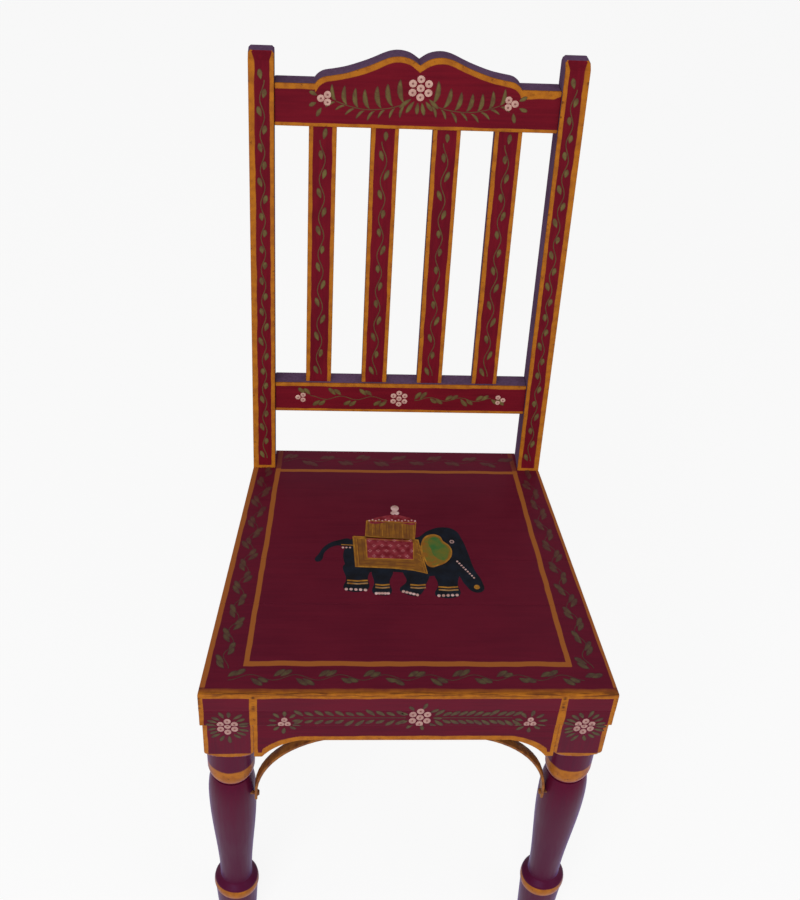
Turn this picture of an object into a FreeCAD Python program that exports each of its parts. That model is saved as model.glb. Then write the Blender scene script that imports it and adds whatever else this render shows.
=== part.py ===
"""Painted wooden side chair: raked slat back, planked seat, square aprons and turned front legs.

Millimetres. +X is to the right seen from the front, -Y to the front, +Z up.
The model is laid out from the front edge of the seat, then shifted so that the
origin lies on the floor in the middle of the chair's overall box.
"""
import FreeCAD, Part
import math
import os

os.makedirs("parts", exist_ok=True)
Vector = FreeCAD.Vector

# Seat
seat_height = 470.0           # floor to the top of the seat
seat_front_width = 434.0
back_width = 346.0            # outside the two rear posts
seat_to_post = 342.5          # front edge of the seat to the front of the rear posts
seat_board_thickness = 27.0
seat_frame_thickness = 24.0   # flat rails under the boards
front_board_depth = 124.0
middle_board_depth = 68.0
board_gap = 0.3               # shrinkage gap between boards
frame_side_width = 45.0
frame_rear_width = 30.0

# Front leg blocks and aprons
front_overhang = 2.0          # seat slab proud of the leg blocks and apron
side_overhang = 2.5
block_width = 53.0
block_depth = 53.0
block_height = 57.0
shoulder_height = 9.0         # turned rounding on the lower corners of a block
shoulder_radius = 27.0
apron_thickness = 20.0
apron_rise = 29.0             # middle of the front apron above the tips of its ears
ear_flat = 8.5                # straight tip of an ear beside the leg block
ear_run = 41.0                # sloping part of an ear
ear_sag = 5.0                 # how far that slope is hollowed
rear_apron_height = 57.0
rear_apron_inset = 3.5        # behind it, to the rear face of the posts

# Turned front legs, radii from the top down
drum_length = 30.0            # straight part between the block and the collar
collar_radius = 26.0
collar_height = 25.0
groove_radius = 21.0
groove_height = 4.0
vase_top_radius = 22.3
vase_radius = 26.8
vase_shoulder = 41.0          # groove down to the widest part of the vase
vase_cheek_radius = 25.7      # between the two
vase_cheek = 16.0             # groove down to that cheek
vase_belly = 22.0             # straight stretch at the widest part
vase_neck_radius = 18.8
bell_height = 9.0
ring_radius = 26.8
ring_height = 14.0
foot_height = 72.0
foot_radius = 25.5            # tapered foot under the ring
foot_round = 5.7              # rounding of its lower edge
sole_radius = 16.6
leg_pin_radius = 11.0         # round tenon on top of a leg
leg_pin_length = 18.0

# Rear posts, measured along the raked back
back_rake = 7.15              # degrees
post_width = 26.0
post_depth = 31.0
post_length = 505.0           # seat to the flat top
post_top_bevel = 8.0          # front and rear bevels of the top
post_side_bevel = 2.5
rear_foot_setback = 40.0
rear_foot_depth = 27.0
post_bend_radius = 400.0      # sweep where the leg turns back under the seat

# Back rails and slats, heights along the rake above the seat
rail_setback = 4.0            # behind the front of the posts
rail_thickness = 24.0
lower_rail_bottom = 79.0
lower_rail_height = 38.5
crest_drop = 77.0             # flat top of the posts down to the lower edge of the crest
crest_shoulder_height = 45.0
crest_peak_rise = 30.5        # humps above the shoulders
crest_notch_drop = 8.5        # middle notch below the humps
crest_step = 106.0            # middle of the crest to the step in its shoulder
crest_step_height = 9.5
crest_peak = 21.0             # middle of the crest to the top of a hump
slat_count = 4
slat_width = 29.0
slat_thickness = 14.0
slat_setback = 5.0            # behind the front of the rails

# Joints
joint_clearance = 0.2
rail_tenon_length = 14.0
rail_tenon_thickness = 10.0
rail_tenon_shoulder = 6.0     # rail left above and below a tenon
slat_tenon_length = 10.0
side_tenon_length = 11.0
frame_tenon_length = 12.0
frame_tenon_width = 12.0
frame_tenon_thickness = 8.0
front_tenon_length = 18.0
apron_tenon_shoulder = 10.0
peg_radius = 3.0
peg_depth = 23.0

# Iron straps under the front apron
strap_width = 12.0
strap_thickness = 3.0
strap_flat = 35.0             # length nailed under the apron
strap_drop = 10.0             # length nailed to the leg
strap_start = 20.0            # middle of the chair to the inner end of a strap
strap_inset = 2.0             # from the rear face of the apron
nail_head_radius = 4.2
nail_crown_radius = 2.6
nail_head_height = 2.2
nail_head_sides = 8
strap_nail_length = 18.0
cut_nail_width = 2.8
cut_nail_head = 7.0
seat_nail_length = 40.0
seat_nail_inset = 34.0        # from the edge of the seat
front_nail_row = 43.0         # from the front edge of the seat
front_nail_spread = 97.0      # middle of the chair to the outer nails of that row
nail_end_share = 0.2          # of the rear board's depth, from its ends to its nails

# Places worked out from those sizes
frame_top = seat_height - seat_board_thickness
frame_bottom = frame_top - seat_frame_thickness
block_bottom = frame_bottom - block_height
seat_depth = seat_to_post + post_depth
rake = math.radians(back_rake)
block_inner = seat_front_width / 2 - side_overhang - block_width
block_rear = front_overhang + block_depth
leg_x = block_inner + block_width / 2
leg_y = front_overhang + block_depth / 2
post_inner = back_width / 2 - post_width
lower_rail_top = lower_rail_bottom + lower_rail_height
crest_bottom = post_length - crest_drop
rail_middle = rail_setback + rail_thickness / 2
frame_middle = frame_bottom + seat_frame_thickness / 2
apron_middle = block_bottom + apron_rise
rear_tenon_y = seat_depth - rear_apron_inset - apron_thickness / 2
sides = (("left", -1), ("right", 1))


def back_yz(along, depth):
    """Point of the raked back: distance up from the seat, distance behind the posts' front."""
    y = seat_to_post + along * math.sin(rake) + depth * math.cos(rake)
    z = seat_height + along * math.cos(rake) - depth * math.sin(rake)
    return y, z


overall_depth = max(back_yz(post_length - post_top_bevel, post_depth)[0],
                    seat_to_post + rear_foot_setback + rear_foot_depth)


def edge_x(y):
    """Half width of the seat at a distance behind its front edge."""
    return seat_front_width / 2 + (back_width - seat_front_width) / 2 * y / seat_to_post


def save(name, shape):
    """Moves a piece from the seat's front edge to the chair's origin and writes it."""
    placed = shape.copy()
    placed.translate(Vector(0, -overall_depth / 2, 0))
    placed.exportStep("parts/" + name + ".step")


def box(low, high):
    """Box between two corners."""
    size = [b - a for a, b in zip(low, high)]
    return Part.makeBox(size[0], size[1], size[2], Vector(*low))


def grown(low, high, grow):
    """Box between two corners, larger by a clearance all round."""
    return box([a - grow for a in low], [b + grow for b in high])


def plate(outline, bottom, top):
    """Flat piece with a plan outline, between two heights."""
    points = [Vector(x, y, bottom) for x, y in outline]
    face = Part.Face(Part.makePolygon(points + points[:1]))
    return face.extrude(Vector(0, 0, top - bottom))


def mirrored(shape, side):
    """The piece itself on the +X side, its mirror image on the -X side."""
    if side > 0:
        return shape.copy()
    return shape.mirror(Vector(0, 0, 0), Vector(1, 0, 0))


def lean(shape):
    """Stands a piece laid out as (x, depth, height above seat) into the raked back."""
    leaned = shape.copy()
    leaned.rotate(Vector(0, 0, 0), Vector(1, 0, 0), -back_rake)
    leaned.translate(Vector(0, seat_to_post, seat_height))
    return leaned


def back_tenon(bottom, top, grow):
    """End tenon of a back rail in the right-hand post, upright before it is leaned."""
    half = rail_tenon_thickness / 2
    low = (post_inner, rail_middle - half, bottom + rail_tenon_shoulder)
    high = (post_inner + rail_tenon_length, rail_middle + half, top - rail_tenon_shoulder)
    return grown(low, high, grow)


def both(shape):
    """A piece and its mirror image."""
    return [mirrored(shape, side) for name, side in sides]


# Back rails, slats and pegs
rail_ends = {
    "crest": (crest_bottom, crest_bottom + crest_shoulder_height),
    "lower": (lower_rail_bottom, lower_rail_top),
}


def slat_middle(number):
    """Middle of a slat: equal gaps between the posts and the slats."""
    gap = (2 * post_inner - slat_count * slat_width) / (slat_count + 1)
    return -post_inner + gap * (number + 1) + slat_width * (number + 0.5)


def slat(number, grow):
    """One slat with its ends let into the two rails."""
    middle = slat_middle(number)
    front = rail_setback + slat_setback
    low = (middle - slat_width / 2, front, lower_rail_top - slat_tenon_length)
    high = (middle + slat_width / 2, front + slat_thickness, crest_bottom + slat_tenon_length)
    return grown(low, high, grow)


def peg(ends, radius):
    """Wooden peg from the rear of the right-hand post through a rail's tenon."""
    x = post_inner + rail_tenon_length / 2
    z = (ends[0] + ends[1]) / 2
    return Part.makeCylinder(radius, peg_depth, Vector(x, post_depth, z), Vector(0, -1, 0))


def crest_outline():
    """Crest rail seen from the front: flat shoulders, a step, two humps and a notch."""
    shoulder = crest_bottom + crest_shoulder_height
    peak = shoulder + crest_peak_rise
    step_top = shoulder + crest_step_height
    fall = crest_step - crest_peak
    rise = peak - step_top
    half = [
        (crest_step, shoulder),
        (crest_step - 0.04 * fall, shoulder + 0.42 * crest_step_height),
        (crest_step - 0.11 * fall, shoulder + 0.78 * crest_step_height),
        (crest_step - 0.24 * fall, step_top),
        (crest_peak + 0.60 * fall, step_top + 0.15 * rise),
        (crest_peak + 0.36 * fall, step_top + 0.50 * rise),
        (crest_peak + 0.14 * fall, step_top + 0.90 * rise),
        (crest_peak, peak),
        (0.45 * crest_peak, peak - 0.28 * crest_notch_drop),
        (0.0, peak - crest_notch_drop),
    ]
    curves = []
    for side in (1, -1):
        points = [Vector(side * x, 0, z) for x, z in half]
        curve = Part.BSplineCurve()
        curve.interpolate(points)
        curves.append(curve.toShape())
    right = [(crest_step, shoulder), (post_inner, shoulder), (post_inner, crest_bottom)]
    points = [Vector(x, 0, z) for x, z in right] + [Vector(-x, 0, z) for x, z in reversed(right)]
    return Part.Wire(Part.__sortEdges__(curves + Part.makePolygon(points).Edges))


def back_rail(body, ends):
    """Adds tenons to a rail and cuts its slat mortises and peg holes."""
    rail = body.fuse(both(back_tenon(ends[0], ends[1], 0.0)))
    mortises = [slat(number, joint_clearance) for number in range(slat_count)]
    holes = both(peg(ends, peg_radius + joint_clearance))
    return rail.cut(mortises + holes).removeSplitter()


crest_face = Part.Face(crest_outline())
crest_body = crest_face.extrude(Vector(0, rail_thickness, 0))
crest_body.translate(Vector(0, rail_setback, 0))
lower_body = box((-post_inner, rail_setback, lower_rail_bottom),
                 (post_inner, rail_setback + rail_thickness, lower_rail_top))
save("crest_rail", lean(back_rail(crest_body, rail_ends["crest"])))
save("lower_back_rail", lean(back_rail(lower_body, rail_ends["lower"])))
for number in range(slat_count):
    save("back_slat_%d" % (number + 1), lean(slat(number, 0.0)))
pegs = [piece for ends in rail_ends.values() for piece in both(peg(ends, peg_radius))]
save("back_rail_pegs", lean(Part.makeCompound(pegs)))


# Seat frame and aprons
def frame_tenon(end, grow):
    """Tenon of a right-hand side rail of the seat frame, at its front or rear end."""
    half_height = frame_tenon_thickness / 2
    if end == "front":
        middle = edge_x(block_rear) - frame_side_width / 2
        reach = (block_rear - frame_tenon_length, block_rear)
    else:
        middle = post_inner + post_width / 2
        reach = (seat_to_post, seat_to_post + side_tenon_length)
    low = (middle - frame_tenon_width / 2, reach[0], frame_middle - half_height)
    high = (middle + frame_tenon_width / 2, reach[1], frame_middle + half_height)
    return grown(low, high, grow)


def rear_frame_tenon(grow):
    """End tenon of the seat frame's rear rail in the right-hand post."""
    half = rail_tenon_thickness / 2
    half_height = frame_tenon_thickness / 2
    low = (post_inner, rear_tenon_y - half, frame_middle - half_height)
    high = (post_inner + rail_tenon_length, rear_tenon_y + half, frame_middle + half_height)
    return grown(low, high, grow)


def front_apron_tenon(grow):
    """End tenon of the front apron in the right-hand leg block."""
    middle = front_overhang + apron_thickness / 2
    half = rail_tenon_thickness / 2
    low = (block_inner, middle - half, block_bottom + apron_tenon_shoulder)
    high = (block_inner + front_tenon_length, middle + half, frame_bottom - apron_tenon_shoulder)
    return grown(low, high, grow)


def side_apron_middle(y):
    """Middle of the right-hand side apron's thickness."""
    return edge_x(y) - side_overhang - apron_thickness / 2


def side_apron_tenon(end, grow):
    """Tenon of the right-hand side apron in the leg block or in the rear post."""
    half = rail_tenon_thickness / 2
    if end == "front":
        middle = side_apron_middle(block_rear)
        reach = (block_rear - side_tenon_length, block_rear)
    else:
        middle = side_apron_middle(seat_to_post)
        reach = (seat_to_post, seat_to_post + side_tenon_length)
    low = (middle - half, reach[0], block_bottom + apron_tenon_shoulder)
    high = (middle + half, reach[1], frame_bottom - apron_tenon_shoulder)
    return grown(low, high, grow)


def rear_apron_tenon(grow):
    """End tenon of the rear apron in the right-hand post."""
    half = rail_tenon_thickness / 2
    low = (post_inner, rear_tenon_y - half, frame_bottom - rear_apron_height + apron_tenon_shoulder)
    high = (post_inner + rail_tenon_length, rear_tenon_y + half, frame_bottom - apron_tenon_shoulder)
    return grown(low, high, grow)


def leg_pin(grow):
    """Round tenon on top of the right-hand leg, let into the seat frame."""
    foot = Vector(leg_x, leg_y, frame_bottom)
    return Part.makeCylinder(leg_pin_radius + grow, leg_pin_length + grow, foot)


def forged_head():
    """Nail head hammered to bevelled sides, under the origin."""
    rings = []
    for radius, height in ((nail_head_radius, 0.0), (nail_crown_radius, -nail_head_height)):
        turns = [2 * math.pi * corner / nail_head_sides for corner in range(nail_head_sides)]
        points = [Vector(radius * math.cos(turn), radius * math.sin(turn), height) for turn in turns]
        rings.append(Part.makePolygon(points + points[:1]))
    return Part.makeLoft(rings, True, True)


def strap_nail(point, turn, grow):
    """Square cut nail whose head sits at the given point, driven up or turned towards +X."""
    half = cut_nail_width / 2
    shank = grown((-half, -half, 0.0), (half, half, strap_nail_length), grow)
    nail = forged_head().fuse(shank).removeSplitter()
    nail.rotate(Vector(0, 0, 0), Vector(0, 1, 0), turn)
    nail.translate(point)
    return nail


def seat_nail(x, y, grow):
    """Square cut nail, driven up from the underside of the seat frame."""
    half = cut_nail_width / 2
    tip = frame_bottom + seat_nail_length
    shank = grown((x - half, y - half, frame_bottom), (x + half, y + half, tip), grow)
    rim = cut_nail_head / 2
    head = box((x - rim, y - rim, frame_bottom - nail_head_height), (x + rim, y + rim, frame_bottom))
    return head.fuse(shank).removeSplitter()


rear_board_start = front_board_depth + middle_board_depth
rear_board_run = seat_to_post - rear_board_start
nail_rows = ((block_rear + front_board_depth) / 2,
             front_board_depth + middle_board_depth / 2,
             rear_board_start + nail_end_share * rear_board_run,
             seat_to_post - nail_end_share * rear_board_run)
nail_places = [(x, front_nail_row) for x in (-front_nail_spread, 0.0, front_nail_spread)]
for row in nail_rows:
    nail_places += [(side * (edge_x(row) - seat_nail_inset), row) for name, side in sides]


def seat_nails(grow):
    """Nails driven up through the seat frame into the boards."""
    return [seat_nail(x, y, grow) for x, y in nail_places]


nail_holes = seat_nails(joint_clearance)
front_rail = plate([(-edge_x(0), 0), (edge_x(0), 0), (edge_x(block_rear), block_rear),
                    (-edge_x(block_rear), block_rear)], frame_bottom, frame_top)
front_cuts = both(leg_pin(joint_clearance)) + both(frame_tenon("front", joint_clearance))
save("seat_frame_front", front_rail.cut(front_cuts + nail_holes))

side_rail = plate([(edge_x(block_rear) - frame_side_width, block_rear), (edge_x(block_rear), block_rear),
                   (edge_x(seat_to_post), seat_to_post),
                   (edge_x(seat_to_post) - frame_side_width, seat_to_post)], frame_bottom, frame_top)
side_rail = side_rail.fuse([frame_tenon("front", 0.0), frame_tenon("rear", 0.0)]).removeSplitter()
for name, side in sides:
    save("seat_frame_" + name, mirrored(side_rail, side).cut(nail_holes))

rear_rail = box((-post_inner, seat_depth - frame_rear_width, frame_bottom),
                (post_inner, seat_depth, frame_top))
save("seat_frame_rear", rear_rail.fuse(both(rear_frame_tenon(0.0))).removeSplitter())


def front_apron_outline():
    """Front apron seen from the front: an ear at each end and a straight middle."""
    ear_tip = block_inner - ear_flat
    ear_top = ear_tip - ear_run
    edges = []
    for side in (1, -1):
        tip = Vector(ear_tip, 0, block_bottom)
        top = Vector(ear_top, 0, apron_middle)
        hollow = (tip + top) * 0.5 + Vector(apron_rise, 0, ear_run) * (ear_sag / tip.distanceToPoint(top))
        points = [Vector(side * p.x, 0, p.z) for p in (tip, hollow, top)]
        edges.append(Part.Arc(points[0], points[1], points[2]).toShape())
    right = [(ear_tip, block_bottom), (block_inner, block_bottom), (block_inner, frame_bottom)]
    upper = [Vector(x, 0, z) for x, z in right] + [Vector(-x, 0, z) for x, z in reversed(right)]
    lower = [Vector(ear_top, 0, apron_middle), Vector(-ear_top, 0, apron_middle)]
    edges += Part.makePolygon(upper).Edges + Part.makePolygon(lower).Edges
    return Part.Wire(Part.__sortEdges__(edges))


front_apron = Part.Face(front_apron_outline()).extrude(Vector(0, apron_thickness, 0))
front_apron.translate(Vector(0, front_overhang, 0))
front_apron = front_apron.fuse(both(front_apron_tenon(0.0))).removeSplitter()

half_apron = apron_thickness / 2
side_apron = plate([(side_apron_middle(block_rear) - half_apron, block_rear),
                    (side_apron_middle(block_rear) + half_apron, block_rear),
                    (side_apron_middle(seat_to_post) + half_apron, seat_to_post),
                    (side_apron_middle(seat_to_post) - half_apron, seat_to_post)],
                   block_bottom, frame_bottom)
side_apron = side_apron.fuse([side_apron_tenon("front", 0.0), side_apron_tenon("rear", 0.0)]).removeSplitter()
for name, side in sides:
    save("side_apron_" + name, mirrored(side_apron, side))

rear_apron = box((-post_inner, rear_tenon_y - half_apron, frame_bottom - rear_apron_height),
                 (post_inner, rear_tenon_y + half_apron, frame_bottom))
save("rear_apron", rear_apron.fuse(both(rear_apron_tenon(0.0))).removeSplitter())


# Seat boards
def board(start, end):
    """Seat board across the chair between two distances from the front edge."""
    outline = [(-edge_x(start), start), (edge_x(start), start), (edge_x(end), end), (-edge_x(end), end)]
    return plate(outline, frame_top, seat_height)


def rear_board_outline():
    """Rear board, notched round the two posts."""
    start = rear_board_start + board_gap
    notch = seat_to_post - joint_clearance
    inside = post_inner - joint_clearance
    right = [(edge_x(start), start), (edge_x(notch), notch), (inside, notch), (inside, seat_depth)]
    return right + [(-x, y) for x, y in reversed(right)]


save("seat_board_front", board(0.0, front_board_depth).cut(nail_holes))
save("seat_board_middle", board(front_board_depth + board_gap, rear_board_start).cut(nail_holes))
save("seat_board_rear", plate(rear_board_outline(), frame_top, seat_height).cut(nail_holes))
save("seat_nails", Part.makeCompound(seat_nails(0.0)))


# Turned front legs
def turned(points_and_curves):
    """Solid of revolution about the right-hand leg's axis from a chain of edges in the XZ plane."""
    wire = Part.Wire(Part.__sortEdges__(points_and_curves))
    solid = Part.Face(wire).revolve(Vector(0, 0, 0), Vector(0, 0, 1), 360)
    solid.translate(Vector(leg_x, leg_y, 0))
    return solid


def arc(start, middle, end):
    """Arc through three (radius, height) points."""
    return Part.Arc(*[Vector(r, 0, z) for r, z in (start, middle, end)]).toShape()


def line(start, end):
    """Straight edge between two (radius, height) points."""
    return Part.makeLine(Vector(start[0], 0, start[1]), Vector(end[0], 0, end[1]))


def ogee(start, end):
    """Two equal arcs between two (radius, height) points, upright at both ends."""
    across = (end[0] - start[0]) / 2
    down = (start[1] - end[1]) / 2
    radius = (across ** 2 + down ** 2) / (2 * across)
    quarter = math.atan2(across, down)
    step = (radius * (1 - math.cos(quarter)), radius * math.sin(quarter))
    middle = (start[0] + across, start[1] - down)
    first = arc(start, (start[0] + step[0], start[1] - step[1]), middle)
    second = arc(middle, (end[0] - step[0], end[1] + step[1]), end)
    return [first, second]


def ball_radius(ball, middle, height):
    """Radius at a height of a moulding cut from a ball whose middle is on the axis."""
    return math.sqrt(ball ** 2 - (height - middle) ** 2)


def leg_turning():
    """Drum with a rounded collar, tapered vase, bell with its ring, and tapered foot.

    The vase's taper takes up two thirds of its fall, so that the hollow under it leaves the taper smoothly.
    """
    collar_middle = block_bottom - drum_length - collar_height / 2
    collar_base = collar_middle - collar_height / 2
    collar_bend = collar_middle - collar_height / 4
    vase_top = collar_base - groove_height
    vase_wide = vase_top - vase_shoulder
    ring_top = foot_height + ring_height
    vase_neck = ring_top + bell_height
    start = (collar_radius, block_bottom)
    collar = (collar_radius, collar_middle)
    collar_side = (ball_radius(collar_radius, collar_middle, collar_bend), collar_bend)
    collar_edge = (ball_radius(collar_radius, collar_middle, collar_base), collar_base)
    groove = (groove_radius, collar_base)
    shoulder = (vase_top_radius, vase_top)
    wide = (vase_radius, vase_wide)
    belly = (vase_radius, vase_wide - vase_belly)
    waist = (vase_neck_radius, vase_neck)
    flare = (vase_radius - vase_neck_radius) / 3
    half_fall = (belly[1] - vase_neck) / 2
    taper_end = (vase_neck_radius + flare, vase_neck + half_fall)
    hollow = (vase_neck_radius + flare / 4, vase_neck + half_fall / 2)
    ring_middle = ring_top - ring_height / 2
    ring_edge = ball_radius(ring_radius, ring_middle, ring_top)
    rim = (ring_edge, ring_top)
    under_ring = (ring_edge, foot_height)
    foot_top = (foot_radius, foot_height)
    heel = (sole_radius + foot_round, foot_round)
    diagonal = foot_round * math.sqrt(0.5)
    heel_bend = (sole_radius + diagonal, foot_round - diagonal)
    sole = (sole_radius, 0.0)
    cheek = (vase_cheek_radius, vase_top - vase_cheek)
    chain = [
        line((0.0, block_bottom), start),
        line(start, collar),
        arc(collar, collar_side, collar_edge),
        line(collar_edge, groove),
        line(groove, (groove_radius, vase_top)),
        line((groove_radius, vase_top), shoulder),
        arc(shoulder, cheek, wide),
        line(wide, belly),
        line(belly, taper_end),
        arc(taper_end, hollow, waist),
        *ogee(waist, rim),
        arc(rim, (ring_radius, ring_middle), under_ring),
        line(under_ring, foot_top),
        line(foot_top, heel),
        arc(heel, heel_bend, sole),
        line(sole, (0.0, 0.0)),
        line((0.0, 0.0), (0.0, block_bottom)),
    ]
    return turned(chain)


def leg_block():
    """Square block at the head of the right-hand leg, its outer face following the seat's taper."""
    front = front_overhang
    rear = block_rear
    block = plate([(block_inner, front), (edge_x(front) - side_overhang, front),
                   (edge_x(rear) - side_overhang, rear), (block_inner, rear)], block_bottom, frame_bottom)
    corner = math.hypot(block_width, block_depth) / 2
    beyond = 2 * corner
    shoulder_top = block_bottom + shoulder_height
    bulge = ((shoulder_radius + 2 * corner) / 3, block_bottom + shoulder_height / 3)
    chain = [
        line((0.0, block_bottom), (shoulder_radius, block_bottom)),
        arc((shoulder_radius, block_bottom), bulge, (corner, shoulder_top)),
        line((corner, shoulder_top), (beyond, shoulder_top)),
        line((beyond, shoulder_top), (beyond, frame_bottom)),
        line((beyond, frame_bottom), (0.0, frame_bottom)),
        line((0.0, frame_bottom), (0.0, block_bottom)),
    ]
    return block.common(turned(chain))


# Iron straps from the front apron to the legs
strap_y = front_overhang + apron_thickness - strap_inset - strap_width / 2
strap_off_axis = leg_y - strap_y - strap_width / 2
strap_reach = leg_x - math.sqrt(vase_radius ** 2 - strap_off_axis ** 2) - joint_clearance
strap_top = apron_middle - strap_thickness
strap_bend = strap_reach - strap_start - strap_flat
strap_bend_foot = apron_middle - strap_bend
strap_nail_drop = strap_bend_foot - strap_drop / 2
strap_nail_x = strap_start + strap_flat / 2


def strap_body():
    """Right-hand strap: flat under the apron, a quarter bend, then down the leg."""
    bend = strap_start + strap_flat
    inner = strap_bend - strap_thickness
    diagonal = math.sqrt(0.5)
    centre = (bend, strap_bend_foot)

    def round_part(radius):
        middle = (centre[0] + radius * diagonal, centre[1] + radius * diagonal)
        return arc((bend, centre[1] + radius), middle, (bend + radius, centre[1]))

    foot = strap_bend_foot - strap_drop
    outer_side = strap_reach
    inner_side = strap_reach - strap_thickness
    chain = [
        line((strap_start, apron_middle), (bend, apron_middle)),
        round_part(strap_bend),
        line((outer_side, strap_bend_foot), (outer_side, foot)),
        line((outer_side, foot), (inner_side, foot)),
        line((inner_side, foot), (inner_side, strap_bend_foot)),
        round_part(inner),
        line((bend, strap_top), (strap_start, strap_top)),
        line((strap_start, strap_top), (strap_start, apron_middle)),
    ]
    face = Part.Face(Part.Wire(Part.__sortEdges__(chain)))
    body = face.extrude(Vector(0, strap_width, 0))
    body.translate(Vector(0, strap_y - strap_width / 2, 0))
    return body


def strap_nails(grow):
    """The two nails of the right-hand strap: one up into the apron, one into the leg."""
    upper = strap_nail(Vector(strap_nail_x, strap_y, strap_top), 0.0, grow)
    side = Vector(strap_reach - strap_thickness, strap_y, strap_nail_drop)
    lower = strap_nail(side, 90.0, grow)
    return [upper, lower]


strap_holes = strap_nails(joint_clearance)
for name, side in sides:
    strap = strap_body().cut(strap_holes)
    save("strap_" + name, mirrored(strap, side))
    save("strap_nails_" + name, mirrored(Part.makeCompound(strap_nails(0.0)), side))
all_strap_holes = [mirrored(hole, side) for hole in strap_holes for name, side in sides]
save("front_apron", front_apron.cut(all_strap_holes))

leg = leg_block().fuse([leg_turning(), leg_pin(0.0)]).removeSplitter()
leg = leg.cut([front_apron_tenon(joint_clearance), side_apron_tenon("front", joint_clearance)] + strap_holes)
for name, side in sides:
    save("front_leg_" + name, mirrored(leg, side))


# Rear posts
def rounded_corner(before, corner, after, radius):
    """Tangent arc that rounds a corner of an outline: its start, middle and end."""
    into = (before - corner).normalize()
    out = (after - corner).normalize()
    half_angle = into.getAngle(out) / 2
    reach = radius / math.tan(half_angle)
    centre = corner + (into + out).normalize() * (radius / math.sin(half_angle))
    middle = centre + (corner - centre).normalize() * radius
    return corner + into * reach, middle, corner + out * reach


def post_outline():
    """Rear post seen from the side: raked above the seat, swept back to the foot below it."""
    mitre = post_depth * math.tan(rake / 2)
    upper = [(post_length - post_top_bevel, 0.0), (post_length, post_top_bevel),
             (post_length, post_depth - post_top_bevel), (post_length - post_top_bevel, post_depth),
             (mitre, post_depth)]
    path = [Vector(0, seat_to_post, seat_height)]
    path += [Vector(0, *back_yz(along, depth)) for along, depth in upper]
    rear_bend = Vector(0, seat_depth, block_bottom)
    front_bend = Vector(0, seat_to_post, block_bottom)
    foot_rear = Vector(0, seat_to_post + rear_foot_setback + rear_foot_depth, 0)
    foot_front = Vector(0, seat_to_post + rear_foot_setback, 0)
    rear_arc = rounded_corner(path[-1], rear_bend, foot_rear, post_bend_radius)
    front_arc = rounded_corner(foot_front, front_bend, path[0], post_bend_radius + post_depth)
    edges = Part.makePolygon(path + [rear_arc[0]]).Edges
    edges.append(Part.Arc(*rear_arc).toShape())
    edges += Part.makePolygon([rear_arc[2], foot_rear, foot_front, front_arc[0]]).Edges
    edges.append(Part.Arc(*front_arc).toShape())
    edges.append(Part.makeLine(front_arc[2], path[0]))
    return Part.Wire(Part.__sortEdges__(edges))


def post_side_cut(x, inward):
    """Wedge that bevels one side of a post's top, upright before it is leaned."""
    points = [Vector(x, 0, post_length), Vector(x + inward * post_side_bevel, 0, post_length),
              Vector(x, 0, post_length - post_side_bevel)]
    return Part.Face(Part.makePolygon(points + points[:1])).extrude(Vector(0, post_depth, 0))


post = Part.Face(post_outline()).extrude(Vector(post_width, 0, 0))
post.translate(Vector(post_inner, 0, 0))
post_cuts = [lean(back_tenon(ends[0], ends[1], joint_clearance)) for ends in rail_ends.values()]
post_cuts += [lean(peg(ends, peg_radius + joint_clearance)) for ends in rail_ends.values()]
post_cuts += [lean(post_side_cut(post_inner, 1)), lean(post_side_cut(post_inner + post_width, -1))]
post_cuts += [frame_tenon("rear", joint_clearance), side_apron_tenon("rear", joint_clearance),
              rear_frame_tenon(joint_clearance), rear_apron_tenon(joint_clearance)]
post = post.cut(post_cuts)
for name, side in sides:
    save("rear_post_" + name, mirrored(post, side))
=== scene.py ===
"""Looks of a hand-painted wooden chair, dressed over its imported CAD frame.

Metres, in the frame's own axes: +X to the right seen from the front, -Y to the front, +Z up.
"""
import math
from functools import partial

import bmesh
import bpy
from mathutils import Matrix, Vector


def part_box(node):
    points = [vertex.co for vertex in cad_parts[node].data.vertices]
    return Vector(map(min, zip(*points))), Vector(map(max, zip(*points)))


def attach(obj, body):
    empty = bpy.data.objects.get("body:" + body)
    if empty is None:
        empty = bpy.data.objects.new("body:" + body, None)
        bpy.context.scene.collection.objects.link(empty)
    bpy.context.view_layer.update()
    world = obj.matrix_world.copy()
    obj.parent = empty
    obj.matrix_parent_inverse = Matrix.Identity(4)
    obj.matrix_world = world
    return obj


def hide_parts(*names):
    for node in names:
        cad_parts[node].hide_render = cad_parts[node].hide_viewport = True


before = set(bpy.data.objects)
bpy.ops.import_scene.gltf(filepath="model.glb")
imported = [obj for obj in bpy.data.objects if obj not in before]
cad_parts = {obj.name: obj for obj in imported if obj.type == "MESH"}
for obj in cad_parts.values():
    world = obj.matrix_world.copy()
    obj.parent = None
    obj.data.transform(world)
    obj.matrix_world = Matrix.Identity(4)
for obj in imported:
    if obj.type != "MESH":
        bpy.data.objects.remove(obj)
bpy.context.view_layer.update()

bl_info = {
    "name": "Painted Chair",
    "version": (1, 0, 0),
    "blender": (4, 5, 0),
    "location": "View3D > Sidebar > Chair",
    "description": "Dresses the frame of a hand-painted wooden chair in its finished wood and paint",
    "category": "Object",
}

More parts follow.
